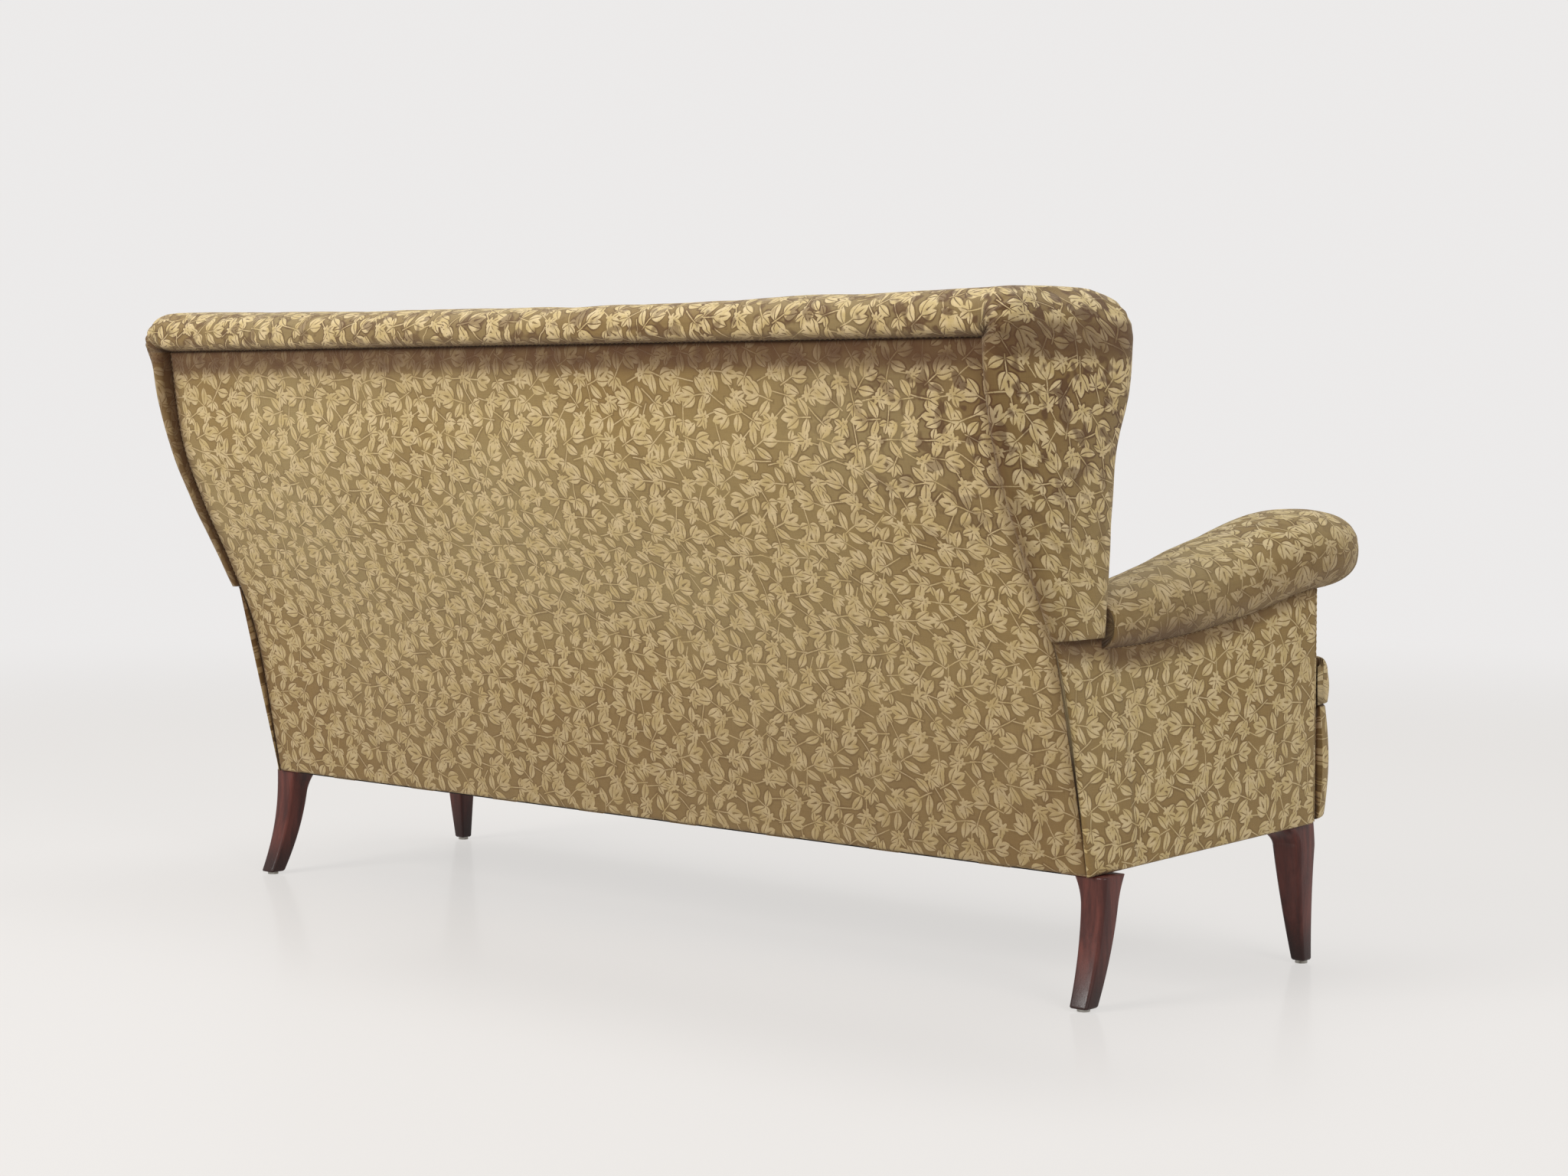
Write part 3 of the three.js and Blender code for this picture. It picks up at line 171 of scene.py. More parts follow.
END_FOOT_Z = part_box("back_end_border_left")[0].z
END_WIDTH = 0.070
END_WIDTH_SHARES = ((0, 0.26), (0.3, 0.44), (0.6, 0.6), (0.82, 0.9), (1, 1))
END_REAR_SHARES = ((0, 0.6), (0.3, 0.42), (0.85, 0.3), (1, 0.45))
CORNER_POWER = 0.8
ROLL_OVERHANG = 0.026
ROLL_CROWN = 0.004
ROLL_REAR_Y = HEM_Y + BACK_LEAN + ROLL_OVERHANG
BACK_HEIGHT = 0.9
BACK_TOP_DIP = 0.01
CORNER_RADIUS = 0.002
CORNER_PLEAT = 0.0022
ROLL_SHADE = (0.046, 0.026)  # below the seam, where the painted shade under the roll begins and is full
ROLL_HAZE = (0.11, 0.03)  # and a fainter painted shade further down
LOW_SHADE = (0.24, 0.56)  # heights over which the painted shade at the back's foot fades
LOW_SHADE_HALF = 0.8

INSIDE_FOOT_Z = 0.372
INSIDE_SEAT_Y = HEM_Y - 0.038
INSIDE_TOP_Y = HEM_Y + 0.056
LUMBAR_CROWN = 0.014
WING_Y = HEM_Y - 0.011
WING_LIP = 0.005
WING_START = 0.47
WING_END = 0.7
INSIDE_LEAST = 0.012
INSIDE_BACK_FREE_Z = 0.44  # the seat holds the inside back below this
WEBBING_SETBACK = 0.0643  # from the outside back's face to the inside back's rear

ARM_REAR_Y = HEM_Y
ARM_FRONT_Y = HEM_Y - 0.422
ARM_REAR_OUTER, ARM_FRONT_OUTER = 0.806, 0.878
ARM_REAR_INNER, ARM_FRONT_INNER = 0.735, 0.757
ARM_CROWN = 0.007
ARM_FORWARD_SHARE = 1.2
ARM_RUN = 0.42  # of an outside arm's cover, from its front to the back
ARM_TUCK = 0.004  # how far covers run up into the arm roll
ARM_ROLL_LOW, ARM_ROLL_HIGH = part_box("arm_roll_left")
ARM_ROLL_FRONT_Y, ARM_ROLL_REAR_Y = ARM_ROLL_LOW.y, ARM_ROLL_HIGH.y
ARM_ROLL_REAR = {"inner": 0.722, "outer": 0.828, "under": 0.452, "top": 0.518}
ARM_ROLL_FRONT = {"inner": 0.742, "outer": 0.916, "under": 0.512, "top": 0.621}
ARM_ROLL_CREST_SHARE = 0.78
ARM_ROLL_NOSE_SHARE = 0.82
ARM_ROLL_SQUARENESS = 2.5
NOSE_PLEAT = 0.10
INSIDE_ARM_FOOT_Z = 0.346
INSIDE_ARM_CROWN = 0.008
INSIDE_ARM_DEPTH = 0.04
INSIDE_ARM_FREE_Z = 0.45  # the seat holds the inside arm below this

FACING_FRONT_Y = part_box("arm_front_facing_left")[0].y
FACING_REAR_Y = FACING_FRONT_Y + 0.0134
FACING_CORNER = 0.034
FACING_POST_X = 0.8652

REAR_LEG_TOP_Z = 0.1675
FRONT_LEG_TOP_Z = 0.196
RAIL_LIFT = 0.002
LEG_TOPS_APART = 0.4055
FRONT_LEG_TOP_Y = HEM_Y - 0.431
SEAT_SLOPE = (FRONT_LEG_TOP_Z - REAR_LEG_TOP_Z) / LEG_TOPS_APART

SEAT_FRONT_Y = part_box("seat_front_border")[0].y
SEAT_REAR_Y = HEM_Y - 0.036
SEAT_EAR = 0.874
SEAT_EAR_REAR_Y = FACING_FRONT_Y - HAIR
SEAT_CORNER = 0.035
SEAT_FOOT_LIFT = 0.1588
SEAT_THICKNESS = 0.062
SEAT_CROWN = 0.016
SEAT_EDGE = 0.022
SEAT_FRONT_FULL = 0.004
SEAT_TUCK, SEAT_TUCK_REACH = 0.010, 0.018  # how it is drawn down beside the arms
BORDER_CROWN = 0.005
BORDER_LIFT = 0.157
FRONT_RAIL_HALF = 0.852
FRONT_RAIL_FRONT_Y = HEM_Y - 0.4646


def mix(a, b, share):
    return a + (b - a) * share


def clamp(value, low=0.0, high=1.0):
    return max(low, min(high, value))


def smooth(value, low, high):
    share = clamp((value - low) / (high - low))
    return share * share * (3 - 2 * share)


def steps(start, stop, count):
    return [mix(start, stop, i / count) for i in range(count + 1)]


def spline_table(shares, per_span=40):
    """Positions and values along a smooth line through [position, value] shares."""
    points = np.array([shares[0], *shares, shares[-1]], float)
    rows = []
    for i in range(1, len(points) - 2):
        p0, p1, p2, p3 = points[i - 1 : i + 3]
        v0, v1 = (p2 - p0) / 2, (p3 - p1) / 2
        cubic, square = 2 * p1 - 2 * p2 + v0 + v1, 3 * p2 - 3 * p1 - 2 * v0 - v1
        for t in np.linspace(0, 1, per_span, endpoint=False):
            rows.append(cubic * t**3 + square * t**2 + v0 * t + p1)
    rows.append(points[-1])
    return np.array(rows).T


BACK_LINE = spline_table(BACK_LINE_SHARES)
END_LINE = spline_table(END_WIDTH_SHARES)
REAR_LINE = spline_table(END_REAR_SHARES)


def back_y(z):
    """The outside back's outer face at a height."""
    rise = (z - HEM_Z) / (SEAM_Z - HEM_Z)
    return HEM_Y + BACK_LEAN * float(np.interp(rise, *BACK_LINE))


def inside_back_y(x, z):
    """The inside back's face: raked in the middle, and upright at the wings."""
    rise = clamp((z - INSIDE_FOOT_Z) / (SEAM_Z - INSIDE_FOOT_Z))
    crowned = mix(INSIDE_SEAT_Y, INSIDE_TOP_Y, rise) - LUMBAR_CROWN * sin(pi * rise)
    return mix(crowned, WING_Y, smooth(abs(x), WING_START, WING_END))


def arm_share(y):
    return clamp((ARM_REAR_Y - y) / (ARM_REAR_Y - ARM_FRONT_Y), 0, ARM_FORWARD_SHARE)


def arm_outer(y):
    return mix(ARM_REAR_OUTER, ARM_FRONT_OUTER, arm_share(y))


def arm_inner(y):
    return mix(ARM_REAR_INNER, ARM_FRONT_INNER, arm_share(y))


def soft_ramp(value, knee, ease=0.08):
    """Rises evenly to 1 at the knee, which it turns softly."""
    if value < knee - ease:
        return value / knee
    if value > knee + ease:
        return 1.0
    return 1 - (knee + ease - value) ** 2 / (4 * ease * knee)


def arm_roll(share):
    """Middle and half sizes of an arm roll's section at a share of its length from the back."""
    rise = soft_ramp(share, ARM_ROLL_CREST_SHARE)
    spread = soft_ramp(share, ARM_ROLL_NOSE_SHARE)
    top = mix(ARM_ROLL_REAR["top"], ARM_ROLL_FRONT["top"], rise)
    under = mix(ARM_ROLL_REAR["under"], ARM_ROLL_FRONT["under"], rise**2)
    inner, outer = (mix(ARM_ROLL_REAR[k], ARM_ROLL_FRONT[k], spread) for k in ("inner", "outer"))
    y = mix(ARM_ROLL_REAR_Y, ARM_ROLL_FRONT_Y, share)
    return Vector(((inner + outer) / 2, y, (top + under) / 2)), (outer - inner) / 2, (top - under) / 2


def roll_under(x, y):
    """The height of the arm roll's underside over a point."""
    share = clamp((ARM_ROLL_REAR_Y - y) / (ARM_ROLL_REAR_Y - ARM_ROLL_FRONT_Y))
    middle, half_width, half_height = arm_roll(share)
    across = clamp(abs(x - middle.x) / half_width)
    power = ARM_ROLL_SQUARENESS
    return middle.z - half_height * (1 - across**power) ** (1 / power)


def rail_under(y):
    return FRONT_LEG_TOP_Z + RAIL_LIFT + (FRONT_LEG_TOP_Y - y) * SEAT_SLOPE


# Skins

def skin(name, rings, finish, shift=(0.0, 0.0), turned=True):
    """A closed quad skin over rings of points. Its UV map is the cloth's own measure in metres:
    round the ring, and along the piece on the path of the ring's longer side."""
    count = len(rings[0])
    places = np.array([[tuple(p) for p in ring] for ring in rings])
    around = np.linalg.norm(np.roll(places, -1, axis=1) - places, axis=2)
    u = np.hstack([np.zeros((len(rings), 1)), np.cumsum(around, axis=1)])
    along = np.percentile(np.linalg.norm(np.diff(places, axis=0), axis=2), 80, axis=1)
    v = np.concatenate([[0], np.cumsum(along)])
    mesh = bmesh.new()
    layer = mesh.loops.layers.uv.new(TEXTILE)
    grid = [[mesh.verts.new(p) for p in ring] for ring in places]

    def paint(face, corners):
        for loop, (row, column) in zip(face.loops, corners):
            place = (u[row, column] + shift[0], v[row] + shift[1])
            loop[layer].uv = place[::-1] if turned else place

    for r in range(len(rings) - 1):
        for k in range(count):
            n = (k + 1) % count
            face = mesh.faces.new((grid[r][k], grid[r][n], grid[r + 1][n], grid[r + 1][k]))
            paint(face, ((r, k), (r, k + 1), (r + 1, k + 1), (r + 1, k)))
    caps = []
    for r in (0, len(rings) - 1):
        face = mesh.faces.new(grid[r])
        paint(face, [(r, k) for k in range(count)])
        caps.append(face)
    bmesh.ops.triangulate(mesh, faces=caps, quad_method="BEAUTY", ngon_method="EAR_CLIP")
    bmesh.ops.recalc_face_normals(mesh, faces=mesh.faces)
    for face in mesh.faces:
        face.smooth = True
    data = bpy.data.meshes.new(name)
    mesh.to_mesh(data)
    mesh.free()
    data.materials.append(finish)
    return placed(name, data)


def paint_shade(piece, share_at):
    """Painted shade on the cover at each place, from 0 to 1, where shade falls in folds, grooves and under
    overhangs.
    """
    values = [clamp(share_at(v.co)) for v in piece.data.vertices]
    piece.data.attributes.new(SHADE_ATTRIBUTE, "FLOAT", "POINT").data.foreach_set("value", values)


def ease(piece, depth, size, seed, keep):
    """Unevenness of stuffing under a cover: slow waves along the normals."""
    mesh = piece.data
    normals = [v.normal.copy() for v in mesh.vertices]
    offset = Vector((seed * 3.7, seed * 1.9, seed * 5.3))
    for vertex, normal in zip(mesh.vertices, normals):
        slow, quick = noise.noise(vertex.co / size + offset), noise.noise(vertex.co / (size * 0.45) - offset)
        vertex.co += normal * depth * (slow + 0.5 * quick) * keep(vertex.co)
    mesh.update()


CLOTH_SETTINGS = {
    "quality": 4,
    "mass": 0.3,
    "tension_stiffness": 18,
    "compression_stiffness": 18,
    "shear_stiffness": 8,
    "bending_stiffness": 0.6,
    "vertex_group_mass": "held",
    "use_pressure": True,
    "uniform_pressure_force": 4,
}
CLOTH_FRAMES = 20
FREE_RUN, FREE_RISE = 0.05, 0.04  # how far from a held edge a cover is quite free


def swell(piece, loose, cap, slack=0.0):
    """Blows a closed cover up a little as cloth, held where loose() is 0, and keeps the result."""
    scene = bpy.context.scene
    mesh = piece.data
    held = piece.vertex_groups.new(name="held")
    for vertex in mesh.vertices:
        held.add([vertex.index], 1 - clamp(loose(vertex.co)), "REPLACE")
    cloth = piece.modifiers.new("cover", "CLOTH")
    for key, value in CLOTH_SETTINGS.items():
        setattr(cloth.settings, key, value)
    cloth.settings.shrink_min = -slack
    cloth.settings.effector_weights.gravity = 0
    cloth.collision_settings.use_collision = False
    cloth.point_cache.frame_start = 1
    cloth.point_cache.frame_end = CLOTH_FRAMES
    for number in range(1, CLOTH_FRAMES + 1):
        scene.frame_set(number)
    result = piece.evaluated_get(bpy.context.evaluated_depsgraph_get()).data
    moved = [v.co.copy() for v in result.vertices]
    piece.modifiers.remove(cloth)
    piece.vertex_groups.clear()
    scene.frame_set(1)
    for vertex, place in zip(mesh.vertices, moved):
        step = place - vertex.co
        if step.length > cap:
            step *= cap / step.length
        vertex.co += step
    mesh.update()


def finish_piece(piece, slot, *replaced, padded=None):
    if replaced:
        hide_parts(*replaced)
    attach(piece, "root")


def cover(name, rings, *replaced, fill, loose=None, swollen=None, uneven=None, painted_shade=None, **laid):
    """One cover of the sofa, swollen as cloth, made uneven and given painted shade where these are given."""
    piece = skin(name, rings, CLOTH, **laid)
    if swollen:
        swell(piece, loose, *swollen)
    if uneven:
        ease(piece, *uneven, loose)
    if painted_shade:
        paint_shade(piece, painted_shade)
    finish_piece(piece, "cover_fabric", *replaced, padded=fill)


# Cloth and woods, made from noise and from drawn shapes

class Net:
    """Adds nodes to a tree. Sockets are linked and plain values are set."""

    def __init__(self, tree):
        self.tree = tree

    def add(self, kind, *values, out=0, **settings):
        node = self.tree.nodes.new(kind)
        named = settings.pop("inputs", {})
        for key, value in settings.items():
            setattr(node, key, value)
        for key, value in [*enumerate(values), *named.items()]:
            self.feed(node.inputs[key], value)
        return node.outputs[out]

    def feed(self, socket, value):
        if isinstance(value, bpy.types.NodeSocket):
            self.tree.links.new(value, socket)
        elif value is not None:
            socket.default_value = value

    def math(self, operation, *values):
        return self.add("ShaderNodeMath", *values, operation=operation)

    def times(self, *values):
        return self.math("MULTIPLY", *values)

    def plus(self, *values):
        return self.math("ADD", *values)

    def less(self, *values):
        return self.math("SUBTRACT", *values)

    def times_plus(self, *values):
        return self.math("MULTIPLY_ADD", *values)

    def vector(self, operation, *values):
        return self.add("ShaderNodeVectorMath", *values, operation=operation)

    def length(self, vector):
        return self.add("ShaderNodeVectorMath", vector, operation="LENGTH", out=1)

    def scaled(self, vector, size):
        return self.add("ShaderNodeVectorMath", vector, operation="SCALE", inputs={"Scale": size})

    def turned(self, vector, angle):
        inputs = {"Vector": vector, "Angle": angle}
        return self.add("ShaderNodeVectorRotate", rotation_type="Z_AXIS", inputs=inputs)

    def own_place(self):
        return self.add("ShaderNodeTexCoord", out=3)

    def parts(self, vector):
        node = self.tree.nodes.new("ShaderNodeSeparateXYZ")
        self.feed(node.inputs[0], vector)
        return node.outputs

    def joined(self, *values):
        return self.add("ShaderNodeCombineXYZ", *values)

    def ramp(self, value, low, high, to_low=0.0, to_high=1.0):
        values = (value, low, high, to_low, to_high)
        return self.add("ShaderNodeMapRange", *values, interpolation_type="SMOOTHSTEP")

    def noise(self, vector, scale, detail=2.0, rough=0.5, colour=False):
        inputs = {"Vector": vector, "Scale": scale, "Detail": detail, "Roughness": rough}
        return self.add("ShaderNodeTexNoise", inputs=inputs, out=1 if colour else 0)

    def colours(self, share, first, second, blend="MIX"):
        node = self.tree.nodes.new("ShaderNodeMix")
        node.data_type = "RGBA"
        node.blend_type = blend
        self.feed(node.inputs[0], share)
        self.feed(node.inputs[6], first)
        self.feed(node.inputs[7], second)
        return node.outputs[2]

    def bump(self, height, depth, normal=None, strength=1.0):
        inputs = {"Height": height, "Distance": depth, "Strength": strength, "Normal": normal}
        return self.add("ShaderNodeBump", inputs=inputs)

    def group(self, tree, *values):
        node = self.tree.nodes.new("ShaderNodeGroup")
        node.node_tree = tree
        for key, value in enumerate(values):
            self.feed(node.inputs[key], value)
        return node.outputs


def srgb(*levels):
    """A linear colour from levels of 0 to 255."""
    shares = [level / 255 for level in levels]
    return (*(s / 12.92 if s <= 0.04045 else ((s + 0.055) / 1.055) ** 2.4 for s in shares), 1)


def node_group(name, inputs, outputs):
    tree = bpy.data.node_groups.new(name, "ShaderNodeTree")
    for way, sockets in (("INPUT", inputs), ("OUTPUT", outputs)):
        for label, kind in sockets:
            tree.interface.new_socket(label, in_out=way, socket_type="NodeSocket" + kind)
    entry, leave = tree.nodes.new("NodeGroupInput"), tree.nodes.new("NodeGroupOutput")
    return tree, Net(tree), entry.outputs, leave.inputs


def material(name, colour, **values):
    made = bpy.data.materials.new(name)
    made.use_nodes = True
    shader = made.node_tree.nodes["Principled BSDF"]
    shader.inputs["Base Color"].default_value = colour
    for key, value in values.items():
        shader.inputs[key.replace("_", " ")].default_value = value
    return made, Net(made.node_tree), shader.inputs


def leaf_group():
    """How far inside a pointed leaf with a midrib a place is, in metres. It is negative outside."""
    sizes = [(label, "Float") for label in ("Turn", "Length", "Width")]
    inputs = [("Place", "Vector"), ("Root", "Vector"), *sizes]
    tree, net, given, result = node_group("leaf", inputs, [("Inside", "Float")])
    place = net.vector("SUBTRACT", given["Place"], given["Root"])
    along, across, _ = net.parts(net.turned(place, net.times(given["Turn"], -1.0)))
    curl = net.times(net.times(along, along), LEAF_CURL)
    across = net.math("ABSOLUTE", net.less(across, curl))
    share = net.less(net.math("DIVIDE", net.times(along, 2.0), given["Length"]), 1.0)
    lens = net.times(given["Width"], net.less(1.0, net.times(share, share)))
    rib = net.less(across, LEAF_RIB)
    net.feed(result[0], net.math("MINIMUM", net.less(lens, across), rib))
    return tree


def sprig_group(name, leaf, leaves):
    """A stem with pairs of leaves, upright about its own middle. A leaf at 90 degrees ends the stem."""
    tree, net, given, result = node_group(name, [("Place", "Vector")], [("Inside", "Float")])
    x, y, _ = net.parts(given["Place"])
    half = net.joined(net.math("ABSOLUTE", x), y, 0.0)
    stem = net.less(LEAF_RIB * 1.3, net.math("ABSOLUTE", x))
    reach = net.less(0.016, net.math("ABSOLUTE", net.plus(y, 0.008)))
    inside = net.math("MINIMUM", stem, reach)
    for root_y, turn, length, width in leaves:
        edge = net.group(leaf, half, (LEAF_RIB, root_y, 0), radians(turn), length, width)[0]
        inside = net.math("MAXIMUM", inside, edge)
    net.feed(result[0], inside)
    return tree


def blossom_group():
    """A small flower of five petals with an open middle."""
    tree, net, given, result = node_group("blossom", [("Place", "Vector")], [("Inside", "Float")])
    x, y, _ = net.parts(given["Place"])
    reach = net.length(given["Place"])
    petals = net.math("COSINE", net.times(net.math("ARCTAN2", y, x), 5.0))
    edge = net.times_plus(petals, BLOSSOM_RADIUS * 0.24, BLOSSOM_RADIUS * 0.8)
    ring = net.less(reach, BLOSSOM_RADIUS * 0.22)
    net.feed(result[0], net.math("MINIMUM", net.less(edge, reach), ring))
    return tree


def repeat_group():
    """A place within its cell of a half-drop repeat, turned by the cell's own angle."""
    inputs = (("Place", "Vector"), ("Shift", "Vector"), ("Swing", "Float"), ("Seed", "Float"))
    tree, net, given, result = node_group("half drop", inputs, [("Local", "Vector"), ("Chance", "Float")])
    moved = net.vector("ADD", given["Place"], given["Shift"])
    x, y, _ = net.parts(net.vector("DIVIDE", moved, (CELL_WIDTH, CELL_HEIGHT, 1)))
    column = net.math("FLOOR", x)
    odd = net.math("FLOORED_MODULO", column, 2.0)
    y = net.plus(y, net.times(odd, 0.5))
    row = net.math("FLOOR", y)
    local = net.joined(net.less(x, column), net.less(y, row), 0.0)
    local = net.vector("MULTIPLY", net.vector("SUBTRACT", local, (0.5, 0.5, 0)), (CELL_WIDTH, CELL_HEIGHT, 0))
    chance = net.tree.nodes.new("ShaderNodeTexWhiteNoise")
    net.feed(chance.inputs["Vector"], net.joined(column, row, given["Seed"]))
    jitter = net.scaled(net.vector("SUBTRACT", chance.outputs["Color"], (0.5, 0.5, 0.5)), CELL_JITTER)
    flip = net.less(net.times(net.math("FLOORED_MODULO", row, 2.0), 2.0), 1.0)
    wobble = net.less(chance.outputs["Value"], 0.5)
    angle = net.times(given["Swing"], net.plus(flip, wobble))
    net.feed(result[0], net.turned(net.vector("ADD", local, jitter), angle))
    net.feed(result[1], chance.outputs["Value"])
    return tree


def figure_group():
    """The woven figure: sprigs, with sprays and blossoms between them, and a dark rim round all of it."""
    outputs = (("Pale", "Float"), ("Dark", "Float"), ("Raised", "Float"))
    tree, net, given, result = node_group("woven figure", [("Place", "Vector")], outputs)
    leaf, blossom, repeat = leaf_group(), blossom_group(), repeat_group()
    sprig, spray = sprig_group("sprig", leaf, SPRIG_LEAVES), sprig_group("spray", leaf, SPRAY_LEAVES)
    drift = net.vector("SUBTRACT", net.noise(given["Place"], 10.0, 1.5, colour=True), (0.5, 0.5, 0.5))
    place = net.vector("ADD", given["Place"], net.scaled(drift, FIGURE_DRIFT))
    large, small, loose = (
        net.group(repeat, place, (CELL_WIDTH * across, CELL_HEIGHT * up, 0), radians(swing), seed)["Local"]
        for across, up, swing, seed in MOTIF_PLACES
    )
    inside = net.group(sprig, large)[0]
    for motif, cell in ((spray, small), (blossom, small), (spray, loose)):
        inside = net.math("MAXIMUM", inside, net.group(motif, cell)[0])
    frayed = net.less(net.noise(given["Place"], 420.0, 1.0), 0.5)
    inside = net.plus(inside, net.times(frayed, 0.0011))
    pale = net.ramp(inside, -0.0003, 0.0005)
    rim = net.times(net.ramp(inside, -0.0036, -0.0014), net.less(1.0, pale))
    net.feed(result["Pale"], pale)
    net.feed(result["Dark"], rim)
    net.feed(result["Raised"], net.ramp(inside, -0.0008, 0.0016))
    return tree


def weave_group():
    """The height of a plain weave's crossing threads, with slubs."""
    inputs = (("Place", "Vector"), ("Pitch", "Float"))
    tree, net, given, result = node_group("weave", inputs, [("Height", "Float"), ("Slub", "Float")])
    uneven = net.scaled(net.noise(given["Place"], 140.0, 1.0, colour=True), 0.0012)
    x, y, _ = net.parts(net.vector("ADD", given["Place"], uneven))
    turn = net.math("DIVIDE", 2 * pi, given["Pitch"])
    waves = [net.math("SINE", net.times(axis, turn)) for axis in (x, y)]
    net.feed(result["Height"], net.times_plus(net.times(*waves), 0.5, 0.5))
    threads = [
        net.noise(net.vector("MULTIPLY", given["Place"], stretch), 1.0, 2.0)
        for stretch in ((40, 900, 1), (900, 40, 1))
    ]
    net.feed(result["Slub"], net.times(net.plus(*threads), 0.5))
    return tree


def grain_group():
    """The grain of straight wood that runs along the vertical, and its pores."""
    inputs = (("Place", "Vector"), ("Rings", "Float"))
    tree, net, given, result = node_group("wood grain", inputs, [("Grain", "Float"), ("Pore", "Float")])
    drift = net.scaled(net.noise(given["Place"], 4.0, 2.0, colour=True), 0.05)
    stretch = net.joined(given["Rings"], given["Rings"], 0.6)
    along = net.vector("MULTIPLY", net.vector("ADD", given["Place"], drift), stretch)
    net.feed(result["Grain"], net.noise(along, 9.0, 6.0, 0.62))
    pores = net.noise(net.vector("MULTIPLY", given["Place"], (900, 900, 28)), 1.0, 2.0)
    net.feed(result["Pore"], net.ramp(pores, 0.6, 0.72))
    return tree


def cloth_material():
    worn = {"Roughness": 0.86, "Specular_IOR_Level": 0.18, "Sheen_Weight": 0.28, "Sheen_Roughness": 0.45}
    made, net, shader = material("figured cover cloth", PALE, Sheen_Tint=srgb(222, 214, 196), **worn)
    measured = net.add("ShaderNodeUVMap", uv_map=TEXTILE)
    solid = net.own_place()
    figure = net.group(figure_group(), measured)
    weave = net.group(WEAVE, measured, THREAD_PITCH)

    x, y, z = net.parts(solid)
    cloudy = net.ramp(net.noise(solid, 2.6, 2.0), 0.3, 0.7)
    ground = net.colours(cloudy, GROUND, GROUND_WARM)
    low = net.times(net.ramp(z, *BROWNER_LOW_Z), 0.55)
    ground = net.colours(low, ground, GROUND_LOW)
    # painted shade: a mask towards the upper corner on the end turned from the light and in a band under the
    # top roll; it also strengthens the figure's dark rim
    corner = net.times(net.ramp(x, *DARK_CORNER_X), net.ramp(z, *DARK_CORNER_Z))
    corner = net.math("MAXIMUM", corner, net.times(net.ramp(z, *TOP_SHADE_Z), 0.75))
    patchy = net.ramp(net.noise(measured, 24.0, 2.0), 0.34, 0.62)
    depth = net.times(patchy, net.times_plus(corner, 0.55, 0.35))
    # painted shade: the ground darkened under that mask
    ground = net.colours(net.times(corner, 0.35), ground, DARK)
    ground = net.colours(net.times(depth, figure["Dark"]), ground, DARK)
    aged = net.colours(net.ramp(net.noise(measured, 55.0, 2.0), 0.3, 0.7), PALE, PALE_WARM)
    colour = net.colours(figure["Pale"], ground, aged)
    thread = net.times_plus(weave["Slub"], 0.5, 0.75)
    colour = net.colours(1.0, colour, net.joined(thread, thread, thread), blend="MULTIPLY")
    # painted shade: ambient occlusion darkens creases, grooves and the undersides of rolls
    occlusion = net.add("ShaderNodeAmbientOcclusion", samples=8, inputs={"Distance": AO_SHADE_REACH}, out=1)
    ao_shade = net.times(net.ramp(occlusion, 0.88, 0.42), 0.92)
    colour = net.colours(ao_shade, colour, net.colours(1.0, colour, AO_SHADE_TINT, blend="MULTIPLY"))
    # painted shade: the cover's shade attribute, broken by noise, with painted shade blotches towards the
    # upper corner, mixed towards DARK
    painted_fold_shade = net.add("ShaderNodeAttribute", attribute_name=SHADE_ATTRIBUTE, out=2)
    shade_blotch = net.times(net.ramp(net.noise(measured, 40.0, 1.0), 0.54, 0.62), corner)
    uneven = net.times_plus(net.ramp(net.noise(measured, 30.0, 2.0), 0.35, 0.65), 0.2, 0.8)
    painted_fold_shade = net.math("MAXIMUM", net.times(painted_fold_shade, uneven), net.times(shade_blotch, 0.85))
    colour = net.colours(net.times(painted_fold_shade, 0.96), colour, DARK)
    net.feed(shader["Base Color"], colour)
    net.feed(shader["Roughness"], net.times_plus(figure["Pale"], -0.14, 0.9))

    raised = net.bump(figure["Raised"], 0.0005)
    threads = net.bump(weave["Height"], 0.00035, raised)
    slack = net.bump(net.noise(solid, 34.0, 3.0), 0.0016, threads, 0.5)
    net.feed(shader["Normal"], slack)
    return made


def wood_material(name, light, dark, rough, coat, rings):
    made, net, shader = material(name, light, Roughness=rough, Coat_Weight=coat, Coat_Roughness=0.16)
    wood = net.group(GRAIN, net.own_place(), rings)
    colour = net.colours(net.ramp(wood["Grain"], 0.34, 0.68), light, dark)
    colour = net.colours(net.times(wood["Pore"], 0.5), colour, dark)
    return made, net, shader, wood, colour


def leg_material():
    parts = wood_material("polished mahogany", LEG_LIGHT, LEG_DARK, 0.34, 0.06, 7.0)
    made, net, shader, wood, colour = parts
    shader["Specular IOR Level"].default_value = 0.24
    solid = net.own_place()
    _, _, z = net.parts(solid)
    worn = net.times(net.ramp(z, *LEG_TIP_Z), 0.85)
    net.feed(shader["Base Color"], net.colours(worn, colour, LEG_TIP))
    net.feed(shader["Roughness"], net.times_plus(net.noise(solid, 60.0, 3.0), 0.22, 0.24))
    net.feed(shader["Normal"], net.bump(net.less(wood["Grain"], wood["Pore"]), 0.0002, strength=0.5))
    return made


def frame_wood_material():
    parts = wood_material("beech frame", srgb(196, 160, 118), srgb(162, 122, 82), 0.62, 0.0, 4.0)
    made, net, shader, wood, colour = parts
    net.feed(shader["Base Color"], colour)
    net.feed(shader["Normal"], net.bump(net.plus(wood["Grain"], wood["Pore"]), 0.0003, strength=0.5))
    return made


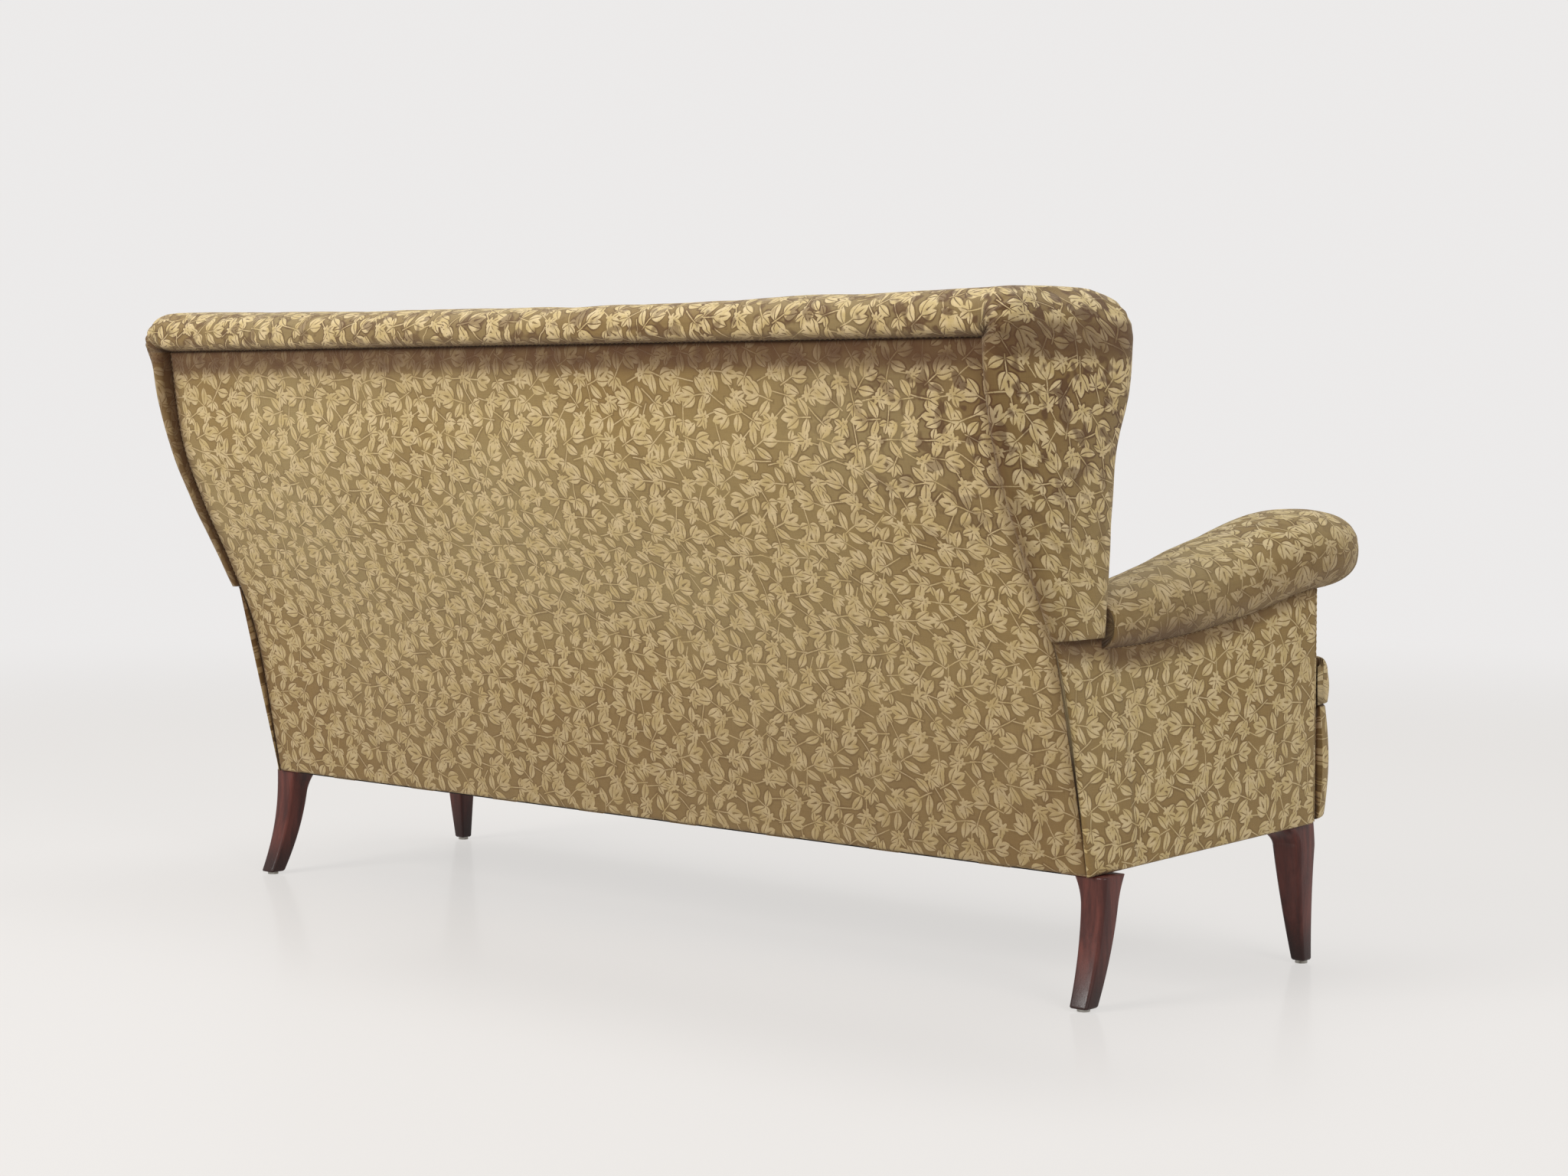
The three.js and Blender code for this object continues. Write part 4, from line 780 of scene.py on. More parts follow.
def strap_material(name, light, dark, pitch, stripe=None):
    """A coarse flat weave over x and the sum of y and z, with slightly slanting stripes if given."""
    made, net, shader = material(name, light, Roughness=0.92)
    solid = net.own_place()
    x, y, z = net.parts(solid)
    flat = net.joined(x, net.plus(y, z), 0.0)
    weave = net.group(WEAVE, flat, pitch)
    shade = net.times_plus(weave["Height"], 0.5, net.times(weave["Slub"], 0.5))
    colour = net.colours(shade, dark, light)
    if stripe:
        band = net.math("SINE", net.times(net.plus(x, flat), 2 * pi / STRIPE_PITCH))
        colour = net.colours(net.times(net.ramp(band, 0.86, 0.95), 0.6), colour, stripe)
    net.feed(shader["Base Color"], colour)
    net.feed(shader["Normal"], net.bump(weave["Height"], pitch * 0.35))
    return made


def thread_material():
    made, net, shader = material("waxed linen thread", srgb(150, 126, 86), Roughness=0.6)
    solid = net.own_place()
    spun = net.noise(net.vector("MULTIPLY", solid, (900, 900, 900)), 1.0, 3.0)
    colour = net.colours(net.ramp(spun, 0.3, 0.7), srgb(124, 100, 64), srgb(168, 144, 102))
    net.feed(shader["Base Color"], colour)
    net.feed(shader["Normal"], net.bump(spun, 0.0002))
    return made


def steel_material():
    made, net, shader = material("plated steel", srgb(150, 148, 144), Metallic=1.0, Roughness=0.32)
    solid = net.own_place()
    dull = net.noise(solid, 90.0, 4.0)
    net.feed(shader["Roughness"], net.times_plus(dull, 0.3, 0.2))
    colour = net.colours(net.ramp(dull, 0.4, 0.75), srgb(160, 158, 152), srgb(96, 88, 78))
    net.feed(shader["Base Color"], colour)
    net.feed(shader["Normal"], net.bump(dull, 0.0001))
    return made


# Palette and the figure's measures

PALE = srgb(200, 179, 137)
PALE_WARM = srgb(184, 161, 110)
GROUND = srgb(147, 128, 86)
GROUND_WARM = srgb(137, 112, 66)
GROUND_LOW = srgb(134, 108, 68)
DARK = srgb(84, 56, 34)
AO_SHADE_TINT = srgb(138, 106, 78)  # what the painted shade in creases and hollows leaves of the light
LEG_LIGHT = srgb(96, 50, 42)
LEG_DARK = srgb(62, 31, 27)
LEG_TIP = srgb(36, 22, 20)
LEG_TIP_Z = (0.08, 0.01)  # the legs darken down to their tips
AO_SHADE_REACH = 0.06
BROWNER_LOW_Z = (0.62, 0.2)  # the ground grows browner down the sofa
DARK_CORNER_X, DARK_CORNER_Z = (-0.38, -0.78), (0.48, 0.8)  # and darker to one upper corner, the end turned from the light: painted shade, with the figure's dark rim stronger there too
TOP_SHADE_Z = (0.80, 0.86)  # and painted shade along the top, under the roll

CELL_WIDTH, CELL_HEIGHT = 0.058, 0.056
CELL_JITTER = 0.004
MOTIF_PLACES = ((0, 0, 75, 3.0), (1 / 3, 1 / 2, 120, 9.0), (-1 / 3, 1 / 2, 200, 5.0))  # in cells, swing, seed
THREAD_PITCH = 0.0014
STRIPE_PITCH = 0.0125
FIGURE_DRIFT = 0.022
LEAF_CURL = 9.0
LEAF_RIB = 0.0006
SPRIG_LEAVES = (
    (-0.018, 14, 0.026, 0.0068),
    (-0.002, 48, 0.025, 0.0066),
    (0.009, 90, 0.021, 0.0062),
)
SPRAY_LEAVES = (
    (0.004, 8, 0.016, 0.0046),
    (0.006, 62, 0.016, 0.0044),
)
BLOSSOM_RADIUS = 0.0078


# Outside back: a thin panel with its edges turned under

EDGE_STEPS, EVEN_FROM = (0, 0.0004, 0.0012, 0.0024, 0.004, 0.0065, 0.0105), 0.016
EDGE_PULL, EDGE_PULL_REACH = 0.001, 0.03


def turned_edge(margin, radius=0.0045):
    """How far a panel's face falls in near its turned edge."""
    share = clamp(margin / radius)
    return radius * (1 - math.sqrt(1 - (1 - share) ** 2)) + EDGE_PULL * math.exp(-margin / EDGE_PULL_REACH)


def graded(low, high, count):
    """Even steps, with close ones by both ends for a turned edge."""
    first, last = [low + c for c in EDGE_STEPS], [high - c for c in reversed(EDGE_STEPS)]
    return [*first, *steps(low + EVEN_FROM, high - EVEN_FROM, count), *last]


def outside_back_face(x, z):
    rise = clamp((z - HEM_Z) / (SEAM_Z - HEM_Z))
    full = BACK_CROWN * (1 - (x / BACK_HALF) ** 2) * sin(pi * rise)
    margin = min(BACK_HALF - abs(x), z - HEM_Z, SEAM_Z - z)
    return back_y(z) + full - turned_edge(margin)


def make_outside_back():
    heights = graded(HEM_Z, SEAM_Z, 84)
    inner = steps(SEAM_Z, HEM_Z, 8)
    rings = [
        [(x, outside_back_face(x, z), z) for z in heights]
        + [(x, back_y(z) - PANEL_THICKNESS, z) for z in inner]
        for x in graded(-BACK_HALF, BACK_HALF, 190)
    ]

    def loose(place):
        margin = min(BACK_HALF - abs(place.x), place.z - HEM_Z, SEAM_Z - place.z)
        return smooth(margin, 0, FREE_RUN) if place.y > back_y(place.z) - PANEL_THICKNESS / 2 else 0

    # painted shade on the outside back: a band under the roll's overhang, a fainter haze below it, darker
    # towards the foot, and grooves at both sides
    def painted_shade(place):
        band, haze = (smooth(place.z, *(SEAM_Z - down for down in pair)) for pair in (ROLL_SHADE, ROLL_HAZE))
        across = (place.x / LOW_SHADE_HALF + 1) / 2
        low = (1 - smooth(place.z, *LOW_SHADE)) * mix(0.36, 0.24, across)
        sides = 0.55 * smooth(abs(place.x), BACK_HALF - 0.03, BACK_HALF - 0.004)
        return max(0.8 * band + 0.2 * haze, low, sides)

    made = {"loose": loose, "uneven": (0.0016, 0.19, 1), "painted_shade": painted_shade}
    cover("outside_back_cover", rings, "outside_back_panel", fill=1.0, **made)


# The roll over the back, which runs down both ends as a tapering border

def roll_ring(inner, outer, front_y, rear_y, rear_share=1.0, turns=14, flats=9):
    """A padded section, rounded at the front and, by its share of that, at the rear."""
    outward = outer - inner
    radius = outward.length / 2
    outward = outward.normalized()
    rear_radius = radius * rear_share
    front_end, rear_end = front_y + radius, rear_y - rear_radius

    def point(rise, y):
        at = inner + outward * rise
        return (at.x, y, at.y)

    def turn(reach, y, start):
        angles = steps(start, start + pi, turns)
        return [point(reach * (1 + sin(a)), y + reach * cos(a)) for a in angles]

    between = steps(0, 1, flats + 1)[1:-1]
    over = [
        point(2 * mix(rear_radius, radius, t) + 4 * ROLL_CROWN * t * (1 - t), mix(rear_end, front_end, t))
        for t in between
    ]
    under = [point(0, mix(front_end, rear_end, t)) for t in between]
    return turn(rear_radius, rear_end, -pi / 2) + over + turn(radius, front_end, pi / 2) + under


def make_back_roll():
    inner_x, inner_z = BACK_HALF + 2 * HAIR, SEAM_Z + HAIR
    corner_x, corner_z = inner_x - CORNER_RADIUS, inner_z - CORNER_RADIUS
    front_y = WING_Y - WING_LIP
    reach_x, reach_z = inner_x + END_WIDTH - corner_x, BACK_HEIGHT - corner_z

    def end(side):
        rings = []
        for share in steps(0, 1, 56):
            z = mix(END_FOOT_Z, corner_z, share)
            full = float(np.interp(share, *END_LINE))
            inner, outer = Vector((side * inner_x, z)), Vector((side * (inner_x + full * END_WIDTH), z))
            rear_share = float(np.interp(share, *REAR_LINE))
            rings.append(roll_ring(inner, outer, front_y, back_y(z) + full * ROLL_OVERHANG, rear_share))
        for angle in steps(0, pi / 2, 60)[1:]:
            out, up = max(0.0, cos(angle)) ** CORNER_POWER, sin(angle) ** CORNER_POWER
            spots = [
                Vector((side * (corner_x + x * out), corner_z + z * up))
                for x, z in ((CORNER_RADIUS, CORNER_RADIUS), (reach_x, reach_z))
            ]
            gathered = CORNER_PLEAT * sin(2 * angle) * (1 - cos(20 * angle)) / 2
            rear_share = mix(END_REAR_SHARES[-1][1], 1, sin(angle))
            rings.append(roll_ring(*spots, front_y + gathered, ROLL_REAR_Y - gathered, rear_share))
        return rings

    top = []
    for x in steps(corner_x, -corner_x, 180)[1:-1]:
        crest = BACK_HEIGHT - BACK_TOP_DIP * (1 - (x / corner_x) ** 2)
        front = inside_back_y(x, SEAM_Z) - WING_LIP
        top.append(roll_ring(Vector((x, inner_z)), Vector((x, crest)), front, ROLL_REAR_Y))
    rings = end(1) + top + end(-1)[::-1]

    def loose(place):
        proud = max(place.z - SEAM_Z, abs(place.x) - BACK_HALF)
        return smooth(proud, 0.004, 0.02) * smooth(place.z, END_FOOT_Z, END_FOOT_Z + FREE_RISE)

    # painted shade: a band under the roll at the ends of the back, and in the groove between each end border
    # and the outside back
    def painted_shade(place):
        ends = smooth(abs(place.x), BACK_HALF, BACK_HALF + 0.02)
        top = SEAM_Z + mix(-0.004, 0.012, ends)
        band = smooth(place.z, SEAM_Z - 0.036, SEAM_Z - 0.016) * (1 - smooth(place.z, top, top + 0.016))
        groove = 1 - smooth(abs(place.x) - BACK_HALF, 0.003, 0.024) if place.z < SEAM_Z else 0
        return max(mix(1.0, 0.8, ends) * band, 0.8 * groove)

    names = ("back_top_roll", "back_end_border_left", "back_end_border_right")
    made = {"loose": loose, "swollen": (0.004,), "uneven": (0.0022, 0.11, 2), "painted_shade": painted_shade}
    cover("back_roll_cover", rings, *names, fill=0.85, shift=(0.013, 0.021), **made)


# Inside back

def inside_back_face(x, z):
    thickest = back_y(z) - WEBBING_SETBACK - HAIR - INSIDE_LEAST
    margin = min(BACK_HALF - abs(x), SEAM_Z - z)
    return min(inside_back_y(x, z), thickest) + turned_edge(margin, 0.008)


def make_inside_back():
    heights = graded(INSIDE_FOOT_Z, SEAM_Z, 56)
    rings = [
        [(x, inside_back_face(x, z), z) for z in heights]
        + [(x, back_y(z) - WEBBING_SETBACK - HAIR, z) for z in steps(SEAM_Z, INSIDE_FOOT_Z, 8)]
        for x in graded(-BACK_HALF, BACK_HALF, 150)
    ]

    def loose(place):
        margin = min(BACK_HALF - abs(place.x), SEAM_Z - place.z, place.z - INSIDE_BACK_FREE_Z)
        clear = back_y(place.z) - WEBBING_SETBACK - place.y
        return smooth(margin, 0, 0.06) * smooth(clear, 0.004, 0.01)

    made = {"loose": loose, "swollen": (0.010, 0.01), "uneven": (0.003, 0.17, 3)}
    cover("inside_back_cover", rings, "inside_back_pad", fill=0.85, shift=(0.02, 0.037), **made)


# Seat: one T-shaped sprung pad whose ears pass in front of the arms

def seat_top(x, y, half):
    front_y = SEAT_FRONT_Y + BORDER_CROWN
    across = clamp(abs(x) / SEAT_EAR)
    along = clamp((y - front_y) / (SEAT_REAR_Y - front_y))
    full = (1 - across**4) * math.sqrt(max(0.0, sin(pi * along)))
    tucked = SEAT_TUCK * math.exp(-(half - abs(x)) / SEAT_TUCK_REACH) if y > SEAT_EAR_REAR_Y else 0
    return SEAT_THICKNESS + SEAT_CROWN * full - tucked


def seat_ring(place_x, rear_y, half_at, inset):
    front_y = SEAT_FRONT_Y + BORDER_CROWN + inset
    rear_y = max(rear_y, front_y + SEAT_EDGE + HAIR)
    radius = SEAT_EDGE
    ring = []
    for y in steps(rear_y, front_y + radius, 70):
        x = place_x(y)
        ring.append((x, y, seat_top(x, y, half_at(y))))
    for angle in steps(0, pi / 2, 14)[1:]:
        y = front_y + radius * (1 - sin(angle))
        x = place_x(y)
        ring.append((x, y, seat_top(x, y, half_at(y)) - radius * (1 - cos(angle))))
    edge_z = ring[-1][2]
    for share in steps(0, 1, 10)[1:]:
        x = place_x(front_y)
        ring.append((x, front_y - SEAT_FRONT_FULL * sin(pi * share), edge_z * (1 - share)))
    for y in steps(front_y, rear_y, 6)[1:]:
        ring.append((place_x(y), y, 0))
    return [(x, y, z + rail_under(y) + SEAT_FOOT_LIFT) for x, y, z in ring]


def make_seat():
    def main_half(y):
        return arm_inner(max(y, SEAT_EAR_REAR_Y)) - INSIDE_ARM_CROWN * 0.6 - HAIR

    ear_half = main_half(SEAT_EAR_REAR_Y)
    rings = [
        seat_ring(lambda y, s=share: s * main_half(y), SEAT_REAR_Y, main_half, 0)
        for share in [*(-1 + c / ear_half for c in (0, 0.003, 0.008)), *steps(-0.98, 0.98, 130)]
        + [1 - c / ear_half for c in (0.008, 0.003, 0)]
    ]
    turn = SEAT_EAR - SEAT_CORNER
    spots = [(x, 0.0) for x in steps(ear_half + HAIR, turn, 8)]
    for angle in steps(0, 1.4, 14)[1:]:
        spots.append((turn + SEAT_CORNER * sin(angle), SEAT_CORNER * (1 - cos(angle))))
    ears = [seat_ring(lambda y, v=x: v, SEAT_EAR_REAR_Y, lambda y: SEAT_EAR, inset) for x, inset in spots]
    mirrored = [[(-x, y, z) for x, y, z in ring] for ring in reversed(ears)]

    def loose(place):
        rise = place.z - rail_under(place.y) - SEAT_FOOT_LIFT
        inward = main_half(place.y) - abs(place.x)
        ahead = SEAT_REAR_Y - place.y
        return smooth(rise, 0.03, 0.058) * smooth(inward, 0.004, 0.07) * smooth(ahead, 0.0, 0.07)

    made = {"loose": loose, "swollen": (0.008, 0.01), "uneven": (0.0035, 0.20, 4)}
    cover("seat_cover", mirrored + rings + ears, "seat_pad", fill=0.85, shift=(0.0, 0.011), **made)


def rounded_run(inner_x, outer_x, front_y, radius, straight, round):
    """Points along a front and round its outer corner, each with its outward direction."""
    turn_x, turn_y = outer_x - radius, front_y + radius
    path = [(x, front_y, 0.0, -1.0) for x in steps(inner_x, turn_x, straight)]
    for angle in steps(0, pi / 2, round)[1:]:
        out_x, out_y = sin(angle), -cos(angle)
        path.append((turn_x + radius * out_x, turn_y + radius * out_y, out_x, out_y))
    return path


def make_front_border():
    inner_x, inner_y = FRONT_RAIL_HALF + HAIR, FRONT_RAIL_FRONT_Y - HAIR
    path = rounded_run(0, SEAT_EAR, SEAT_FRONT_Y, SEAT_CORNER, 84, 14)
    turn_y = SEAT_FRONT_Y + SEAT_CORNER
    if turn_y < SEAT_EAR_REAR_Y:
        path += [(SEAT_EAR, y, 1.0, 0.0) for y in steps(turn_y, SEAT_EAR_REAR_Y, 4)[1:]]
    path = [p for p in path if p[1] <= SEAT_EAR_REAR_Y + 1e-6]
    path = [(-x, y, -nx, ny) for x, y, nx, ny in reversed(path[1:])] + path
    top_z = rail_under(FACING_FRONT_Y) + BORDER_LIFT
    rings = []
    for x, y, out_x, out_y in path:
        foot_z = rail_under(y)
        rear_x = max(-inner_x, min(inner_x, x))
        rear_y = inner_y if abs(x) < inner_x else clamp(y, inner_y, SEAT_EAR_REAR_Y)
        ring = []
        for z in graded(foot_z, top_z, 22):
            share = (z - foot_z) / (top_z - foot_z)
            inward = BORDER_CROWN * (1 - sin(pi * share)) + turned_edge(min(z - foot_z, top_z - z), 0.005)
            ring.append((x - out_x * inward, y - out_y * inward, z))
        ring += [(rear_x, rear_y, z) for z in steps(top_z, foot_z, 3)]
        rings.append(ring)

    def loose(place):
        proud = SEAT_FRONT_Y + 0.012 - place.y
        rise = min(place.z - rail_under(place.y), top_z - place.z)
        return smooth(proud, 0, 0.004) * smooth(rise, 0, FREE_RISE)

    made = {"loose": loose, "uneven": (0.0016, 0.10, 5)}
    cover("seat_border_cover", rings, "seat_front_border", fill=0.95, shift=(0.0, 0.03), **made)


# Arms

def arm_roll_ring(share, side, shrink, gather=0.0, sides=108):
    middle, half_width, half_height = arm_roll(share)
    power = 2 / ARM_ROLL_SQUARENESS
    ring = []
    for k in range(sides):
        angle = 2 * pi * k / sides
        reach = shrink * (1 - gather * NOSE_PLEAT * (1 - abs(cos(9 * angle))))
        across = math.copysign(abs(cos(angle)) ** power, cos(angle)) * half_width * reach
        up = math.copysign(abs(sin(angle)) ** power, sin(angle)) * half_height * reach
        ring.append((side * (middle.x + across), middle.y, middle.z + up))
    return ring


def make_arm_roll(hand, side):
    rings = [arm_roll_ring(share, side, 1) for share in steps(0, ARM_ROLL_NOSE_SHARE, 60)]
    for angle in steps(0, radians(88.5), 36)[1:]:
        share = mix(ARM_ROLL_NOSE_SHARE, 1, sin(angle))
        shrink = cos(angle) ** (1 / ARM_ROLL_SQUARENESS)
        rings.append(arm_roll_ring(share, side, shrink, gather=smooth(angle, 0.7, 1.4)))

    def loose(place):
        rise = place.z - roll_under(abs(place.x), place.y)
        return smooth(rise, 0.01, FREE_RISE) * smooth(ARM_ROLL_REAR_Y - place.y, 0, FREE_RUN)

    # painted shade: on the arm roll's underside, and over the rear of the roll where the back's end shades it
    def painted_shade(place):
        share = clamp((ARM_ROLL_REAR_Y - place.y) / (ARM_ROLL_REAR_Y - ARM_ROLL_FRONT_Y))
        middle, _, half_height = arm_roll(share)
        height = (place.z - middle.z) / half_height
        ahead, behind = 0.52 * (1 - smooth(height, -0.35, 1)), 0.95 - 0.6 * smooth(height, -0.9, 0.3)
        return mix(ahead, behind, smooth(place.y, ARM_ROLL_REAR_Y - 0.25, ARM_ROLL_REAR_Y - 0.1))

    made = {"loose": loose, "swollen": (0.005,), "uneven": (0.0022, 0.09, 6 + side), "painted_shade": painted_shade}
    laid = {"shift": (0.05, 0.02), "turned": False}
    cover(f"arm_roll_cover_{hand}", rings, f"arm_roll_{hand}", fill=0.9, **laid, **made)


def outside_arm_top(y):
    behind = smooth(y, ARM_ROLL_REAR_Y - 0.012, ARM_ROLL_REAR_Y)
    return mix(roll_under(arm_outer(y), min(y, ARM_ROLL_REAR_Y)), END_FOOT_Z - 2 * HAIR, behind)


def make_outside_arm(hand, side):
    close = [c / ARM_RUN for c in (0, 0.0008, 0.002, 0.004, 0.007)]
    shares = [*close, *steps(0.03, 0.97, 64), *(1 - c for c in reversed(close))]
    rings = []
    for share in shares:
        outer, inner = [], []
        hem_z = rail_under(mix(ARM_FRONT_Y, back_y(REAR_LEG_TOP_Z), share)) - HAIR
        top_z = outside_arm_top(mix(ARM_FRONT_Y, back_y(END_FOOT_Z), share))
        for z in graded(hem_z, top_z, 40):
            y = mix(ARM_FRONT_Y, back_y(z), share)
            rise = (z - hem_z) / (top_z - hem_z)
            margin = min(z - hem_z, share * ARM_RUN, (1 - share) * ARM_RUN)
            full = ARM_CROWN * sin(pi * share) * sin(pi * rise)
            outer.append((side * (arm_outer(y) + full - turned_edge(margin)), y, z))
        for z in steps(top_z, hem_z, 8):
            y = mix(ARM_FRONT_Y, back_y(z), share)
            inner.append((side * (arm_outer(y) - PANEL_THICKNESS), y, z))
        rings.append(outer + inner)

    def loose(place):
        proud = abs(place.x) - arm_outer(place.y) + 0.003
        rise = min(place.z - rail_under(place.y), outside_arm_top(place.y) - place.z)
        run = min(place.y - ARM_FRONT_Y, back_y(place.z) - place.y)
        return smooth(proud, 0, 0.002) * smooth(rise, 0, FREE_RISE) * smooth(run, 0, FREE_RUN)

    # painted shade: a band on the outside arm just under the roll, deeper towards the back
    def painted_shade(place):
        top, rearward = outside_arm_top(place.y), smooth(place.y, ARM_FRONT_Y, ARM_ROLL_REAR_Y)
        return mix(0.6, 0.9, rearward) * smooth(place.z, top - mix(0.02, 0.042, rearward), top - 0.01)

    made = {"loose": loose, "uneven": (0.0016, 0.12, 9 + side), "painted_shade": painted_shade}
    laid = {"shift": (0.02, 0.03 * side)}
    cover(f"outside_arm_cover_{hand}", rings, f"outside_arm_panel_{hand}", fill=1.0, **laid, **made)


def make_inside_arm(hand, side):
    rings = []
    for y in graded(FACING_REAR_Y + HAIR, ARM_ROLL_REAR_Y, 64):
        face_x, rear_x = arm_inner(y), arm_inner(y) + INSIDE_ARM_DEPTH
        face_top, rear_top = (roll_under(x, y) + ARM_TUCK for x in (face_x, rear_x))
        ring = []
        for z in graded(INSIDE_ARM_FOOT_Z, face_top, 26):
            rise = (z - INSIDE_ARM_FOOT_Z) / (face_top - INSIDE_ARM_FOOT_Z)
            ring.append((side * (face_x - INSIDE_ARM_CROWN * sin(pi * rise)), y, z))
        between = [mix(face_x, rear_x, share) for share in (0.33, 0.67)]
        ring += [(side * x, y, roll_under(x, y) + ARM_TUCK) for x in between]
        ring += [(side * rear_x, y, z) for z in steps(rear_top, INSIDE_ARM_FOOT_Z, 8)]
        rings.append(ring)

    def loose(place):
        rise = min(place.z - INSIDE_ARM_FREE_Z, roll_under(arm_inner(place.y), place.y) - place.z)
        run = min(place.y - FACING_REAR_Y, ARM_ROLL_REAR_Y - place.y)
        proud = arm_inner(place.y) + 0.008 - abs(place.x)
        return smooth(rise, 0, FREE_RISE) * smooth(run, 0, FREE_RUN) * smooth(proud, 0, 0.006)

    made = {"loose": loose, "swollen": (0.003,), "uneven": (0.0016, 0.10, 12 + side)}
    cover(f"inside_arm_cover_{hand}", rings, f"inside_arm_pad_{hand}", fill=0.9, shift=(0.04, 0.01), **made)


def make_facing(hand, side):
    inner_x, side_y = arm_inner(FACING_REAR_Y), ARM_FRONT_Y - HAIR
    path = rounded_run(inner_x, ARM_FRONT_OUTER, FACING_FRONT_Y, FACING_CORNER, 20, 24)
    path = [spot for spot in path if spot[1] < side_y] + [(ARM_FRONT_OUTER, side_y, 1.0, 0.0)]
    rings = []
    for x, y, out_x, out_y in path:
        foot_z, top_z = rail_under(y), roll_under(x, y) + ARM_TUCK
        edge = min(x - inner_x, max(0.0, side_y - y))
        ring = []
        for z in graded(foot_z, top_z, 34):
            inward = turned_edge(min(edge, z - foot_z), 0.004)
            ring.append((side * (x - out_x * inward), y - out_y * inward, z))
        rear_x, rear_y = min(x, FACING_POST_X), max(y, FACING_REAR_Y)
        ring += [(side * rear_x, rear_y, z) for z in steps(top_z, foot_z, 4)]
        rings.append(ring)
    cover(f"arm_facing_cover_{hand}", rings, f"arm_front_facing_{hand}", fill=1.0, shift=(0.01, 0.02))


# Legs

def rounded_square(size, x, y, z, radius_share=0.16, arc=6):
    half = size / 2
    radius = size * radius_share
    ring = []
    for turn in range(4):
        for angle in steps(0, pi / 2, arc):
            u = half - radius + radius * cos(angle)
            v = half - radius + radius * sin(angle)
            c, s = cos(turn * pi / 2), sin(turn * pi / 2)
            ring.append((x + u * c - v * s, y + u * s + v * c, z))
    return ring


def make_leg(place, hand, side):
    """Square and tapered, kicked out towards its foot, with a bracket towards the middle of the sofa."""
    foot, top, (foot_size, top_size), (bracket, bracket_height) = LEGS[place]
    height = top[2]
    rings = []
    for share in [0, 0.004, FOOT_BEVEL_SHARE, *steps(0.02, 1, 60)]:
        lean = 1 - (1 - share) ** LEG_CURVE[place]
        start = 1 - bracket_height / height
        flare = clamp((share - start) / (1 - start)) ** 2
        taper = share if place == "rear" else clamp(share / start)
        bevel = FOOT_BEVEL * clamp(1 - share / FOOT_BEVEL_SHARE)
        size = mix(foot_size, top_size, taper) + bracket * flare - bevel
        inward = bracket * flare / 2
        middle = [mix(f, t, lean) + math.copysign(inward, t - f) for f, t in zip(foot[:2], top[:2])]
        ring = rounded_square(size, side * middle[0], middle[1], mix(GLIDE_TOP_Z, height, share))
        slope = SEAT_SLOPE * flare if place == "front" else 0
        rings.append([(x, y, z - (y - top[1]) * slope) for x, y, z in ring])
    piece = skin(f"{place}_leg_turned_{hand}", rings, LEG_WOOD, turned=False)
    finish_piece(piece, "leg_wood", f"{place}_leg_{hand}")


# Stitches along the closed seams, and tacks round the dust cover

def parts_group(along_line):
    """Geometry nodes: a small rounded part at even spaces along a line, or else on each point."""
    tree = bpy.data.node_groups.new("stitches" if along_line else "tacks", "GeometryNodeTree")
    kinds = {"Geometry": "Geometry", "Pitch": "Float", "Size": "Vector", "Finish": "Material"}
    keys = [
        tree.interface.new_socket(label, in_out="INPUT", socket_type="NodeSocket" + kind).identifier
        for label, kind in kinds.items()
    ]
    tree.interface.new_socket("Geometry", in_out="OUTPUT", socket_type="NodeSocketGeometry")
    given, leave = tree.nodes.new("NodeGroupInput").outputs, tree.nodes.new("NodeGroupOutput")
    net = Net(tree)
    places = {"Points": given["Geometry"]}
    if along_line:
        line = net.add("GeometryNodeMeshToCurve", given["Geometry"])
        inputs = {"Curve": line, "Length": given["Pitch"]}
        spread = net.add("GeometryNodeCurveToPoints", mode="LENGTH", inputs=inputs)
        places = {"Points": spread, "Rotation": spread.node.outputs["Rotation"]}
    part = net.add("GeometryNodeMeshUVSphere", 10, 6, 0.5)
    part = net.add("GeometryNodeSetShadeSmooth", part)
    inputs = {**places, "Instance": part, "Scale": given["Size"]}
    solid = net.add("GeometryNodeRealizeInstances", net.add("GeometryNodeInstanceOnPoints", inputs=inputs))
    inputs = {"Geometry": solid, "Material": given["Finish"]}
    net.feed(leave.inputs[0], net.add("GeometryNodeSetMaterial", inputs=inputs))
    return tree, keys


def small_parts(name, group, points, edges, pitch, size, finish, slot):
    tree, keys = group
    mesh = bpy.data.meshes.new(name)
    mesh.from_pydata(points, edges, [])
    piece = placed(name, mesh)
    modifier = piece.modifiers.new("parts", "NODES")
    modifier.node_group = tree
    for key, value in zip(keys[1:], (pitch, size, finish)):
        modifier[key] = value
    graph = bpy.context.evaluated_depsgraph_get()
    made = bpy.data.meshes.new_from_object(piece.evaluated_get(graph), depsgraph=graph)
    piece.modifiers.clear()
    piece.data = made
    finish_piece(piece, slot)


